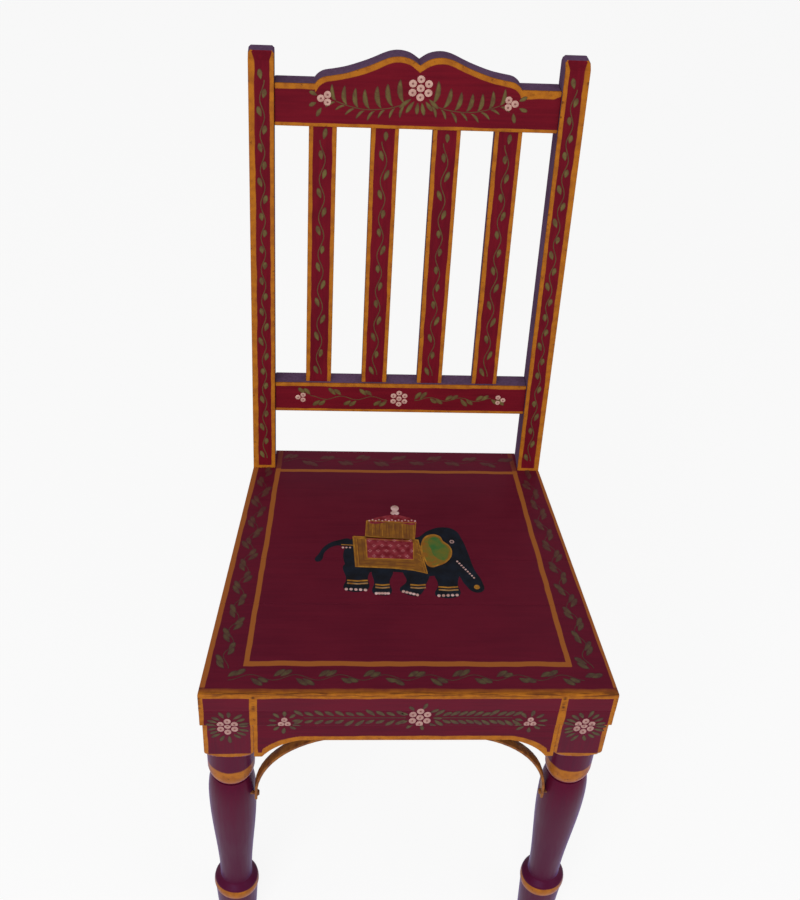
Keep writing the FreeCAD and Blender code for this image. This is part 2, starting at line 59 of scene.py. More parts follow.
MM = 0.001
SIDES = (("left", -1), ("right", 1))
SLATS = ["back_slat_%d" % number for number in range(1, 5)]
FIT = 0.2 * MM          # room left round a joint
FACET = 4 * MM          # about the length of a facet round the block of a leg
EASE_STEPS = 3          # facets in the rounding of an arris
CURVE_STEPS = 8         # facets along a bend, a bead or a vase
OGEE_STEPS = 16         # facets along an ogee or the bend of a strap
DRUM_STEPS = 6          # facets along the straight part of a leg
SOLE_STEPS = 5          # facets in the rounding of a foot
UNLINED = 9.0           # share that stands for no painted line near
FRONTWARD = 0.4         # least forward or rearward part of the normal on a broad face of the back
WOOD_SHARP = math.radians(40)       # least angle at which an edge stays sharp
STROKE_SHARP = math.radians(50)

# Places read from the frame
board_low, board_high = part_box("seat_board_front")
post_low, post_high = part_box("rear_post_right")
frame_low, frame_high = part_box("seat_frame_front")
apron_low, apron_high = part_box("front_apron")
leg_low, leg_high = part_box("front_leg_right")
SEAT_FRONT = board_low.y
SEAT_TOP = board_high.z
BOARD_BOTTOM = board_low.z
FRAME_BOTTOM = frame_low.z
BLOCK_BOTTOM = apron_low.z
HALF_FRONT = board_high.x
POST_FRONT = post_low.y
POST_INNER = post_low.x
POST_OUTER = post_high.x
TAPER = (HALF_FRONT - POST_OUTER) / (POST_FRONT - SEAT_FRONT)
LEG_Y = (leg_low.y + leg_high.y) / 2


def srgb(code):
    """Linear colour of an sRGB hex value."""
    values = [int(code[place:place + 2], 16) / 255 for place in (1, 3, 5)]
    return [v / 12.92 if v <= 0.04045 else ((v + 0.055) / 1.055) ** 2.4 for v in values]


def length(name, description, millimetres):
    """Length property, written in millimetres."""
    return bpy.props.FloatProperty(name=name, description=description, default=millimetres * MM,
                                   min=0.0, precision=4, subtype="DISTANCE", unit="LENGTH")


def colour(name, description, code):
    """Colour property, written as an sRGB hex value."""
    return bpy.props.FloatVectorProperty(name=name, description=description, default=srgb(code),
                                         min=0.0, max=1.0, size=3, subtype="COLOR")


class BackSizes(bpy.types.PropertyGroup):
    """Sizes of the raked back, heights along the rake from the seat."""
    rake: bpy.props.FloatProperty(name="Rake", description="Lean of the back from upright",
                                  default=math.radians(7.15), subtype="ANGLE", unit="ROTATION")
    ease: length("Ease", "Rounding of the planed arrises", 1.3)
    post_depth: length("Post Depth", "Posts from front to rear", 31)
    post_top_bevel: length("Top Bevel", "Front and rear bevels of a post's top", 8)
    post_side_bevel: length("Side Bevel", "Side bevels of a post's top", 2.5)
    post_sweep: length("Sweep", "Half the length of a post's bend under the seat", 22)
    foot_setback: length("Foot Setback", "Rear feet behind the front of the posts", 40)
    foot_depth: length("Foot Depth", "Rear feet from front to rear", 27)
    rail_setback: length("Rail Setback", "Rails behind the front of the posts", 4)
    rail_thickness: length("Rail Thickness", "Back rails from front to rear", 24)
    lower_bottom: length("Lower Rail", "Seat to the lower edge of the lower rail", 79)
    lower_height: length("Lower Rail Height", "Height of the lower rail", 38.5)
    crest_drop: length("Crest Drop", "Top of the posts down to the crest's lower edge", 77)
    crest_shoulder: length("Crest Shoulder", "Height of the crest beside the posts", 45)
    crest_rise: length("Crest Rise", "Humps above the shoulders", 30.5)
    crest_notch: length("Crest Notch", "Middle notch below the humps", 8.5)
    crest_step: length("Crest Step", "Middle of the crest to the step in its shoulder", 106)
    crest_step_height: length("Step Height", "Height of that step", 9.5)
    crest_peak: length("Crest Peak", "Middle of the crest to the top of a hump", 21)
    slat_setback: length("Slat Setback", "Slats behind the front of the rails", 5)
    slat_thickness: length("Slat Thickness", "Slats from front to rear", 14)
    slat_let_in: length("Slat Let-in", "How far a slat runs on into a rail", 4)


class FrontSizes(bpy.types.PropertyGroup):
    """Sizes of the seat, the aprons and the turned front legs."""
    ease: length("Ease", "Rounding of the planed arrises", 0.9)
    seam_ease: length("Seam Ease", "Rounding of the seat boards at their seams", 0.4)
    nose_ease: length("Nose Ease", "Rounding of the seat's worn front edge", 2.2)
    paint_room: length("Paint Room", "Wood held back from the front for the strokes on it", 0.35)
    front_overhang: length("Front Overhang", "Seat proud of the leg blocks and the apron", 2)
    side_overhang: length("Side Overhang", "Seat proud of the leg blocks at the sides", 2.5)
    frame_width: length("Frame Width", "Side rails of the seat frame, from the seat's edge inwards", 45)
    block_width: length("Block Width", "Square block at the head of a front leg", 53)
    shoulder_height: length("Shoulder Height", "Turned rounding under a block", 9)
    shoulder_radius: length("Shoulder Radius", "Radius of that rounding where it ends", 27)
    ear_flat: length("Ear Flat", "Straight tip of an apron ear", 8.5)
    ear_run: length("Ear Run", "Sloping part of an apron ear", 41)
    ear_sag: length("Ear Sag", "Hollow of that slope", 5)
    apron_rise: length("Apron Rise", "Middle of the apron above the tips of its ears", 29)
    drum_length: length("Drum Length", "Straight part between the block and the collar", 30)
    collar_radius: length("Collar Radius", "Drum and rounded collar", 26)
    collar_height: length("Collar Height", "Rounded collar", 25)
    groove_radius: length("Groove Radius", "Groove under the collar", 21)
    groove_height: length("Groove Height", "Groove under the collar", 4)
    vase_top_radius: length("Vase Top", "Vase under the groove", 22.3)
    vase_cheek_radius: length("Vase Cheek", "Vase between its top and its widest part", 25.7)
    vase_cheek: length("Vase Cheek Drop", "Groove down to that cheek", 16)
    vase_radius: length("Vase Radius", "Widest part of the vase", 26.8)
    vase_shoulder: length("Vase Shoulder", "Groove down to the widest part", 41)
    waist_radius: length("Waist Radius", "Foot of the vase", 18.8)
    bell_height: length("Bell Height", "Bell between the vase and its ring", 9)
    ring_radius: length("Ring Radius", "Ring under the bell", 26.8)
    ring_height: length("Ring Height", "Ring under the bell", 14)
    foot_height: length("Foot Height", "Tapered foot under the ring", 72)
    foot_radius: length("Foot Radius", "Top of the tapered foot", 25.5)
    foot_round: length("Foot Round", "Rounding of the foot's lower edge", 5.7)
    sole_radius: length("Sole Radius", "Foot on the floor", 16.6)


class IronSizes(bpy.types.PropertyGroup):
    """Sizes of the bent iron straps."""
    thickness: length("Thickness", "Thickness of a strap", 3)
    flat: length("Flat", "Part of a strap that lies flat, before its bend", 35)
    ease: length("Ease", "Rounding of a strap's edges", 0.6)


class PaintSizes(bpy.types.PropertyGroup):
    """Widths and places of the painted lines."""
    relief: length("Relief", "How far a brush stroke stands on the wood", 0.22)
    ledge: length("Ledge", "Height over which strokes fall back under the edge of the seat frame", 1.6)
    post_outer_line: length("Post Outer Line", "Line on the outer edge of a post", 6.2)
    post_inner_line: length("Post Inner Line", "Line on the inner edge of a post", 4.3)
    bevel_taper: bpy.props.FloatProperty(name="Bevel Taper", default=0.6, min=0.0, max=1.0, subtype="FACTOR",
                                         description="Share of its width that such a line loses on the bevel")
    slat_line: length("Slat Line", "Lines on the edges of a slat", 4.4)
    rail_line: length("Rail Line", "Lines on the edges of the lower rail and under the crest", 4.0)
    crest_line: length("Crest Line", "Line along the top of the crest", 5.4)
    wrap: length("Wrap", "How far a line turns over an arris", 2.0)
    base_line: length("Base Line", "Line at the foot of a post on the seat", 3.4)
    nose_line: length("Nose Line", "Line on the front edge of the seat's top", 8.3)
    nose_drop: length("Nose Drop", "Its width on the front face", 6)
    left_side_line: length("Left Side Line", "Line along the left side of the seat", 5.8)
    right_side_line: length("Right Side Line", "Line along the right side of the seat", 3.6)
    joint_line: length("Joint Line", "Upright line over the joint of block and apron", 7.5)
    joint_place: length("Joint Place", "Middle of the chair to the middle of that line", 160.8)
    end_line: length("End Line", "Upright line at the ends of the front", 5)
    block_line: length("Block Line", "Line along the bottom of a block", 6)
    collar_line: length("Collar Line", "Band round the collar", 24)
    collar_fade: length("Collar Fade", "How slowly that band's brushed upper edge fades", 16)
    ring_line: length("Ring Line", "Band round the ring", 13.6)
    ear_line: length("Ear Line", "Line along the lower edge of the apron", 7.5)
    frame_line: length("Frame Line", "Line at the front of the rectangle on the seat", 6.6)
    frame_side_line: length("Frame Side Line", "Line at each side of that rectangle", 5.6)
    frame_back_line: length("Frame Back Line", "Line at the back of that rectangle", 4.5)
    frame_front: length("Frame Front", "Front of the seat to the rectangle", 38)
    frame_half: length("Frame Half", "Half the rectangle's width at its front", 172)
    frame_back: length("Frame Back", "Front of the seat to the back of the rectangle", 340)
    frame_half_back: length("Frame Half Back", "Half the rectangle's width at its back", 146)


class PaintColours(bpy.types.PropertyGroup):
    """Colours of the paints."""
    maroon: colour("Maroon", "Ground colour of the back", "#6f1420")
    maroon_shade: colour("Maroon Shade", "Thin and dark brush marks of that ground", "#62111d")
    # Painted shade with a bluish painted sky reflection: the seat's top takes this darker, bluer copy of the
    # maroon, for the light that falls on it.
    seat_maroon: colour("Seat Maroon", "Ground colour of the seat's top", "#641829")
    seat_maroon_shade: colour("Seat Maroon Shade", "Thin and dark brush marks of that ground", "#5c1526")
    # Painted shade: the aprons, leg blocks and seat frame take this darker, purpler copy of the maroon, for
    # the lower light that reaches them.
    front_maroon: colour("Front Maroon", "Ground colour of the aprons and leg blocks", "#601124")
    front_maroon_shade: colour("Front Maroon Shade", "Thin and dark brush marks of that ground", "#540d20")
    # Painted shade: the dark purple that the turned legs take under the seat, strongest towards the foot.
    leg_painted_shade: colour("Leg Maroon", "Purple ground of the turned legs", "#4d0f2d")
    # Painted sky reflection and painted shade: the narrow sides and tops of the back take this grey-violet in
    # place of the maroon, for the light that falls on them.
    side_maroon: colour("Side Maroon", "Dark paint on the narrow sides of the back", "#745878")
    side_maroon_shade: colour("Side Maroon Shade", "Streaks in that dark paint", "#644a64")
    ochre: colour("Ochre", "Edge lines", "#b26c1e")
    ochre_shade: colour("Ochre Shade", "Thin places of the edge lines", "#9b591d")
    # Painted shade with a bluish painted sky reflection: a darker, bluer copy of the ochre for the lines on
    # the seat's top behind its nose.
    seat_ochre: colour("Seat Ochre", "Redder lines of the rectangle on the seat", "#a05c2a")
    chip: colour("Chip", "Worn specks on the edges", "#3a1a18")
    leaf: colour("Leaf", "Vines and leaves of the back", "#6b5f35")
    leaf_shade: colour("Leaf Shade", "Thin edges of those leaves", "#502d24")
    # Painted shade: a darker, duller copy of the leaf paint for the seat and the front.
    low_leaf: colour("Low Leaf", "Duller vines and leaves of the seat and its front", "#584e34")
    low_leaf_shade: colour("Low Leaf Shade", "Thin edges of those leaves", "#422227")
    petal: colour("Petal", "Dots of the back's flowers", "#cba497")
    petal_shade: colour("Petal Shade", "Thin places of those dots", "#b78d82")
    # Painted shade: a darker, duller copy of the petal paint for the flowers of the front.
    front_petal: colour("Front Petal", "Duller dots of the front's flowers", "#b9928b")
    front_petal_shade: colour("Front Petal Shade", "Thin places of those dots", "#a47c78")
    petal_heart: colour("Petal Heart", "Middle of each dot", "#845350")
    hide: colour("Hide", "Elephant's skin", "#101824")
    hide_shade: colour("Hide Shade", "Thin places of the skin", "#080b12")
    gold: colour("Gold", "Elephant's cloth and howdah", "#8f5d22")
    gold_shade: colour("Gold Shade", "Folds and ribs of the cloth", "#744820")
    gold_line: colour("Gold Line", "Bright lines on the cloth and the howdah", "#b57d2a")
    sand: colour("Sand", "Pale bands of the anklets", "#a8865e")
    strap: colour("Strap", "Thin paint on the iron straps", "#9a602c")
    strap_shade: colour("Strap Shade", "Rusty places of the straps", "#6b3b23")
    floret: colour("Floret", "Small blossoms on the cloth", "#c48a8c")
    olive: colour("Olive", "Border of the ear", "#6f6a28")
    panel: colour("Panel", "Middle of the cloth", "#933640")
    bead: colour("Bead", "Beads, toes and blossoms on the elephant", "#dcb9b6")
    ear: colour("Ear", "Middle of the ear", "#3c6a34")


class StageSizes(bpy.types.PropertyGroup):
    """Camera and light."""
    lens: bpy.props.FloatProperty(name="Lens", description="Focal length for a 36 mm sensor in millimetres",
                                  default=53.95)
    key: bpy.props.FloatProperty(name="Key", description="Soft light from the front", default=60.0,
                                 unit="POWER")
    fill: bpy.props.FloatProperty(name="Fill", description="Light from all round", default=0.4)
    floor: colour("Floor", "Floor under the chair", "#d0d0ce")


# Settings of the scene
def back_sizes():
    return bpy.context.scene.chair_back


def front_sizes():
    return bpy.context.scene.chair_front


def paint_sizes():
    return bpy.context.scene.chair_paint


def paint_colours():
    return bpy.context.scene.chair_colours


# Shapes
def drawn(start, corner, end, steps):
    """Points of a curve from start to end that is drawn towards a corner."""
    shares = [step / steps for step in range(steps + 1)]
    return [start.lerp(corner, t).lerp(corner.lerp(end, t), t) for t in shares]


def bulge(start, middle, end, steps):
    """Points of a curve through three points."""
    return drawn(start, 2 * middle - (start + end) / 2, end, steps)


def smooth_line(points, steps):
    """Points of a smooth line through the given ones."""
    padded = [points[0]] + points + [points[-1]]
    line = []
    for a, b, c, d in zip(padded, padded[1:], padded[2:], padded[3:]):
        for step in range(steps):
            t = step / steps
            line.append(b + (c - a) * t / 2 + (2 * a - 5 * b + 4 * c - d) * t ** 2 / 2
                        + (3 * b - a - 3 * c + d) * t ** 3 / 2)
    return line + [points[-1]]


def height_at(outline, x):
    """Height and flatness of an outline, from left to right, at a place across it."""
    for (x1, z1), (x2, z2) in zip(outline, outline[1:]):
        if x <= x2:
            break
    share = min(max((x - x1) / (x2 - x1), 0.0), 1.0)
    return z1 + (z2 - z1) * share, (x2 - x1) / math.hypot(x2 - x1, z2 - z1)


def neighbours(corners):
    """Each corner with the ones before and after it."""
    return zip(corners[-1:] + corners[:-1], corners, corners[1:] + corners[:1])


def four_corners(low, high, near, far):
    """Corners of a section in order, as pairs of its place one way and its place the other way."""
    return (low, near), (high, near), (high, far), (low, far)


def rounded(corners, eases):
    """Outline whose corners are each eased by a small curve."""
    ring = []
    for (before, corner, after), ease in zip(neighbours(corners), eases):
        start = corner + (before - corner).normalized() * ease
        end = corner + (after - corner).normalized() * ease
        ring += drawn(start, corner, end, EASE_STEPS)
    return ring


def drawn_in(corners, amount):
    """Section drawn in by the same amount on every side."""
    return [corner + ((before - corner).normalized() + (after - corner).normalized()) * amount
            for before, corner, after in neighbours(corners)]


def middle_of(corners):
    """Middle of a section."""
    return sum(corners, Vector((0, 0, 0))) / len(corners)


def eased_end(section, following, eases):
    """Rings that round over the end of a piece, from its end face inwards."""
    ease = min(eases)
    run = (middle_of(following) - middle_of(section)).normalized()
    rings = []
    for step in range(EASE_STEPS + 1):
        angle = math.pi / 2 * step / EASE_STEPS
        corners = drawn_in(section, ease * (1 - math.sin(angle)))
        shift = run * ease * (1 - math.cos(angle))
        rings.append(rounded([corner + shift for corner in corners], eases))
    return rings


def eased_rings(sections, eases):
    """Rings of a piece that runs through four-cornered sections, with eased arrises and ends."""
    start = eased_end(sections[0], sections[1], eases)
    end = eased_end(sections[-1], sections[-2], eases)
    return start + [rounded(section, eases) for section in sections[1:-1]] + end[::-1]


def loft(name, rings):
    """Closed mesh through rings of equally many points."""
    count = len(rings[0])
    faces = []
    for row in range(len(rings) - 1):
        for place in range(count):
            a = row * count + place
            b = row * count + (place + 1) % count
            faces.append((a, b, b + count, a + count))
    last = (len(rings) - 1) * count
    faces.append(tuple(reversed(range(count))))
    faces.append(tuple(range(last, last + count)))
    mesh = bpy.data.meshes.new(name)
    mesh.from_pydata([point for ring in rings for point in ring], [], faces)
    return mesh


def outward(mesh):
    """Merges doubles and turns the faces of closed shapes outwards."""
    edit = bmesh.new()
    edit.from_mesh(mesh)
    bmesh.ops.remove_doubles(edit, verts=edit.verts, dist=0.001 * MM)
    bmesh.ops.recalc_face_normals(edit, faces=edit.faces)
    edit.to_mesh(mesh)
    edit.free()


def add_piece(name, mesh, replaced=()):
    """Puts a finished mesh into the scene as a piece of the chair."""
    piece = bpy.data.objects.new(name, mesh)
    bpy.context.scene.collection.objects.link(piece)
    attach(piece, "root")
    if replaced:
        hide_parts(*replaced)
    return piece


def arris(point, across, across_width, depth, depth_width):
    """Painted line along an arris: 0 on it and 1 where the paint ends, on both of its faces."""
    slope = across / across_width + depth / depth_width
    return lambda place: (place - point).dot(slope)


def line_edges(mesh, lines):
    """Stores each point's share of the way across up to four painted lines, for the enamel to read."""
    rim = mesh.attributes.new("rim", "FLOAT_COLOR", "POINT")
    for vertex in mesh.vertices:
        shares = [line(vertex.co) for line in lines]
        rim.data[vertex.index].color = shares + [UNLINED] * (4 - len(shares))


def painted_wood(node, rings, material, lines=(), narrow=None):
    """Finished wooden piece that stands for a CAD node, with a grey-violet painted sky reflection and painted
    shade on its narrow sides if given.
    """
    mesh = loft(node + "_painted", rings)
    outward(mesh)
    line_edges(mesh, lines)
    mesh.materials.append(material)
    if narrow:
        mesh.materials.append(narrow)
        # Faces that point neither forwards nor rearwards take the grey-violet painted sky reflection and
        # painted shade.
        for face in mesh.polygons:
            face.material_index = int(abs(face.normal.y) < FRONTWARD)
    mesh.shade_smooth()
    mesh.set_sharp_from_angle(angle=WOOD_SHARP)
    piece = add_piece(node + "_painted", mesh, [node])
    weights = piece.modifiers.new("flat faces", "WEIGHTED_NORMAL")
    weights.keep_sharp = True
    return piece


# Back
def on_back(x, along, depth):
    """Point of the raked back: across, up from the seat, and behind the front of the posts."""
    rake = back_sizes().rake
    y = POST_FRONT + along * math.sin(rake) + depth * math.cos(rake)
    z = SEAT_TOP + along * math.cos(rake) - depth * math.sin(rake)
    return Vector((x, y, z))


def back_plane(depth):
    """Places flat artwork on the raked back, at a depth behind the front of the posts."""
    rake = back_sizes().rake
    axes = Matrix.Rotation(math.pi / 2 - rake, 4, "X")
    return Matrix.Translation(on_back(0.0, 0.0, depth)) @ axes


def post_length():
    """Length of a post from the seat to its flat top, along the rake."""
    size = back_sizes()
    return (post_high.z - SEAT_TOP + size.post_top_bevel * math.sin(size.rake)) / math.cos(size.rake)


def upright_section(low_x, high_x, front, rear):
    """Level section between two places across, from front and rear points in the YZ plane."""
    return [Vector((x, *point)) for x, point in four_corners(low_x, high_x, front, rear)]


def post_sections(low_x, high_x):
    """Sections of a rear post from its bevelled top to its foot."""
    size = back_sizes()
    top = post_length()
    bevel = size.post_top_bevel
    side = size.post_side_bevel
    sections = []
    for drop, front, inward in ((0.0, bevel - size.ease, side - size.ease), (side, bevel - side, 0.0),
                                (bevel, 0.0, 0.0), (top, 0.0, 0.0)):
        level = top - drop
        rear = size.post_depth - front
        mitre = size.post_depth * math.tan(size.rake / 2) if drop == top else 0.0
        corners = four_corners(low_x + inward, high_x - inward, (level, front), (level + mitre, rear))
        sections.append([on_back(x, *place) for x, place in corners])
    bends = []
    for offset, foot in ((0.0, size.foot_setback), (size.post_depth, size.foot_setback + size.foot_depth)):
        corner = Vector((POST_FRONT + offset, BLOCK_BOTTOM))
        sole = Vector((POST_FRONT + foot, 0.0))
        start = corner + Vector((0.0, size.post_sweep))
        end = corner + (sole - corner).normalized() * size.post_sweep
        bends.append(drawn(start, corner, end, CURVE_STEPS) + [sole])
    sections += [upright_section(low_x, high_x, front, rear) for front, rear in zip(*bends)]
    return sections


# Top of the crest: shares of the way across each part, and of its height
NOTCH_CURVE = (0.45, 0.28)
HUMP_CURVE = ((0.14, 0.90), (0.36, 0.50), (0.60, 0.15), (0.76, 0.0))
STEP_CURVE = ((0.89, 0.78), (0.96, 0.42), (1.0, 0.0))


def crest_outline():
    """Top of the crest from left to right: shoulders, steps, two humps and a notch."""
    size = back_sizes()
    shoulder = post_length() - size.crest_drop + size.crest_shoulder
    step_top = shoulder + size.crest_step_height
    peak = shoulder + size.crest_rise
    fall = size.crest_step - size.crest_peak
    out, down = NOTCH_CURVE
    half = [Vector((0.0, peak - size.crest_notch)),
            Vector((out * size.crest_peak, peak - down * size.crest_notch)),
            Vector((size.crest_peak, peak))]
    half += [Vector((size.crest_peak + out * fall, step_top + up * (peak - step_top)))
             for out, up in HUMP_CURVE]
    half += [Vector((size.crest_peak + out * fall, shoulder + up * size.crest_step_height))
             for out, up in STEP_CURVE]
    right = smooth_line(half, steps=4) + [Vector((POST_INNER, shoulder))]
    return [Vector((-x, z)) for x, z in reversed(right[1:])] + right


def back_axes():
    """Foot of the back on the seat, its way up and its way to the rear."""
    foot = on_back(0.0, 0.0, 0.0)
    return foot, on_back(0.0, 1.0, 0.0) - foot, on_back(0.0, 0.0, 1.0) - foot


def build_posts(enamel, narrow):
    """Rear posts, with ochre lines on their front edges and where they stand on the seat."""
    size = back_sizes()
    paint = paint_sizes()
    foot, up, inward = back_axes()
    bevel_foot = post_length() - size.post_top_bevel

    def edge_line(edge_x, direction, width):
        def share(place):
            bevelled = max(0.0, (place - foot).dot(up) - bevel_foot)
            depth = (place - foot).dot(inward) - bevelled
            worn = paint.bevel_taper * bevelled / size.post_top_bevel
            return (place.x - edge_x) * direction / width + depth / paint.wrap + worn
        return share

    def seat_line(place):
        return abs((place - foot).dot(up)) / paint.base_line + (place - foot).dot(inward) / paint.wrap

    for name, side in SIDES:
        low_x, high_x = sorted((side * POST_INNER, side * POST_OUTER))
        low_width, high_width = (paint.post_outer_line, paint.post_inner_line)[::-side]
        lines = [edge_line(low_x, 1, low_width), edge_line(high_x, -1, high_width), seat_line]
        rings = eased_rings(post_sections(low_x, high_x), [size.ease] * 4)
        painted_wood("rear_post_" + name, rings, enamel, lines, narrow)


def build_rails(enamel, narrow):
    """Crest and lower rail, with an ochre line along each edge."""
    size = back_sizes()
    paint = paint_sizes()
    foot, up, inward = back_axes()
    eases = [size.ease] * 4
    front = size.rail_setback
    rear = front + size.rail_thickness
    outline = crest_outline()

    def section(x, low, high):
        return [on_back(x, along, depth) for along, depth in four_corners(low, high, front, rear)]

    def edge_line(along, direction):
        return arris(on_back(0.0, along, front), direction, paint.rail_line, inward, paint.wrap)

    def crest_line(place):
        top, flatness = height_at(outline, place.x)
        below = (top - (place - foot).dot(up)) * flatness
        return below / paint.crest_line + ((place - foot).dot(inward) - front) / paint.wrap

    bottom = post_length() - size.crest_drop
    rings = eased_rings([section(x, bottom, top) for x, top in outline], eases)
    painted_wood("crest_rail", rings, enamel, [edge_line(bottom, up), crest_line], narrow)

    low = size.lower_bottom
    high = low + size.lower_height
    rings = eased_rings([section(x, low, high) for x in (-POST_INNER, POST_INNER)], eases)
    painted_wood("lower_back_rail", rings, enamel, [edge_line(low, up), edge_line(high, -up)], narrow)


def build_slats(enamel, narrow):
    """Slats between the rails, with an ochre line along each edge."""
    size = back_sizes()
    paint = paint_sizes()
    inward = back_axes()[2]
    right = Vector((1.0, 0.0, 0.0))
    front = size.rail_setback + size.slat_setback
    rear = front + size.slat_thickness
    bottom = size.lower_bottom + size.lower_height - size.slat_let_in
    top = post_length() - size.crest_drop + size.slat_let_in
    for node in SLATS:
        low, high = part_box(node)
        sections = [[on_back(x, along, depth) for x, depth in four_corners(low.x, high.x, front, rear)]
                    for along in (bottom, top)]
        lines = [arris(on_back(low.x, 0.0, front), right, paint.slat_line, inward, paint.wrap),
                 arris(on_back(high.x, 0.0, front), -right, paint.slat_line, inward, paint.wrap)]
        painted_wood(node, eased_rings(sections, [size.ease] * 4), enamel, lines, narrow)


def build_back():
    """Posts, rails and slats of the back."""
    upright = maroon_enamel("gloss_enamel_upright", UPRIGHT_STROKE)
    across = maroon_enamel("gloss_enamel_across", ACROSS_STROKE)
    # Grey-violet painted sky reflection and painted shade on the narrow sides and tops of the back.
    narrow = maroon_enamel("painted_reflection_and_shade_narrow_sides", UPRIGHT_STROKE, "side_", narrow=True)
    build_posts(upright, narrow)
    build_rails(across, narrow)
    build_slats(upright, narrow)


# Seat
def half_width(y):
    """Half width of the seat at a place from front to rear."""
    return HALF_FRONT - TAPER * (y - SEAT_FRONT)


def plank_sections(shares, front, rear, bottom, top):
    """Sections across a seat board, at shares of its half width."""
    corners = four_corners(bottom, top, front, rear)
    return [[Vector((share * half_width(y), y, z)) for z, y in corners] for share in shares]


def side_rings(side, edge, thickness, bottom, top, eases):
    """Rings of a board along a side of the seat, from a place inside the seat's edge inwards."""
    sections = []
    for y in (frame_high.y, POST_FRONT):
        outer = side * (half_width(y) - edge)
        corners = four_corners(bottom, top, outer, outer - side * thickness)
        sections.append([Vector((x, y, z)) for z, x in corners])
    return eased_rings(sections, eases)


def rear_rings(node, eases):
    """Rings of a straight board between the rear posts."""
    low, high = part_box(node)
    corners = four_corners(low.z, high.z, low.y, high.y)
    return eased_rings([[Vector((x, y, z)) for z, y in corners] for x in (-POST_INNER, POST_INNER)], eases)


def front_shares():
    """Shares of the seat's half width where the upright lines on its front begin, peak and end."""
    paint = paint_sizes()
    joint = paint.joint_place
    line = paint.joint_line / 2
    clear = joint - 3 * paint.joint_line        # well away from the line
    places = [0.0, clear, joint - line, joint, joint + line, (joint + HALF_FRONT) / 2,
              HALF_FRONT - paint.end_line, HALF_FRONT]
    return [-place / HALF_FRONT for place in reversed(places[1:])] + [place / HALF_FRONT for place in places]


def upright_lines(place):
    """Upright lines on the front of the seat: over the joints of the blocks, and at both ends."""
    paint = paint_sizes()
    joint = abs(abs(place.x) - paint.joint_place) / (paint.joint_line / 2)
    end = (half_width(place.y) - abs(place.x)) / paint.end_line
    return min(joint, end) + (place.y - SEAT_FRONT - front_sizes().paint_room) / paint.wrap


def side_lines():
    """Lines along the two sides of the seat's top."""
    paint = paint_sizes()
    lines = []
    for name, side in SIDES:
        inwards = Vector((-side, -TAPER, 0.0)).normalized()
        corner = Vector((side * HALF_FRONT, SEAT_FRONT, SEAT_TOP))
        width = getattr(paint, name + "_side_line")
        lines.append(arris(corner, inwards, width, Vector((0.0, 0.0, -1.0)), paint.right_side_line))
    return lines


def build_seat():
    """Seat boards and the frame under them."""
    size = front_sizes()
    paint = paint_sizes()
    # The seat's top takes darker, bluer copies of the maroon and ochre: painted shade with a bluish painted
    # sky reflection.
    seat = maroon_enamel("gloss_enamel_seat_painted_shade", ACROSS_STROKE, "seat_", seat=True)
    # The frame takes the darker front copy of the maroon: painted shade.
    across = maroon_enamel("gloss_enamel_apron_painted_shade", ACROSS_STROKE, "front_")
    sideways = maroon_enamel("gloss_enamel_sideways_painted_shade", SIDEWAYS_STROKE, "front_")
    face = SEAT_FRONT + size.paint_room
    seams = [size.seam_ease] * 4
    eases = [size.ease] * 4
    down = Vector((0.0, 0.0, -1.0))
    back = Vector((0.0, 1.0, 0.0))

    nose = arris(Vector((0.0, face, SEAT_TOP)), back, paint.nose_line, down, paint.nose_drop)
    nose_eases = [size.seam_ease, size.nose_ease, size.seam_ease, size.seam_ease]
    sections = plank_sections(front_shares(), face, board_high.y, BOARD_BOTTOM, SEAT_TOP)
    painted_wood("seat_board_front", eased_rings(sections, nose_eases), seat,
                 [nose, upright_lines] + side_lines())

    low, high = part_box("seat_board_middle")
    sections = plank_sections((-1.0, 1.0), low.y, high.y, BOARD_BOTTOM, SEAT_TOP)
    painted_wood("seat_board_middle", eased_rings(sections, seams), seat, side_lines())

    low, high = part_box("seat_board_rear")
    notch = POST_FRONT - FIT
    inside = POST_INNER - FIT
    outer = plank_sections((-1.0, 1.0), low.y, notch, BOARD_BOTTOM, SEAT_TOP)
    steps = [[Vector((x, y, z)) for z, y in four_corners(BOARD_BOTTOM, SEAT_TOP, low.y, rear)]
             for x, rear in ((-inside, notch), (-inside, high.y), (inside, high.y), (inside, notch))]
    painted_wood("seat_board_rear", eased_rings(outer[:1] + steps + outer[1:], seams), seat, side_lines())

    sections = plank_sections(front_shares(), face, frame_high.y, FRAME_BOTTOM, BOARD_BOTTOM)
    painted_wood("seat_frame_front", eased_rings(sections, eases), across, [upright_lines])
    for name, side in SIDES:
        rings = side_rings(side, 0.0, size.frame_width, FRAME_BOTTOM, BOARD_BOTTOM, eases)
        painted_wood("seat_frame_" + name, rings, sideways)
    painted_wood("seat_frame_rear", rear_rings("seat_frame_rear", eases), across)


# Front legs and aprons
def block_inner():
    """Middle of the chair to the inner face of a leg block."""
    size = front_sizes()
    return HALF_FRONT - size.side_overhang - size.block_width


def collar_foot():
    """Height of the collar's lower edge."""
    size = front_sizes()
    return BLOCK_BOTTOM - size.drum_length - size.collar_height


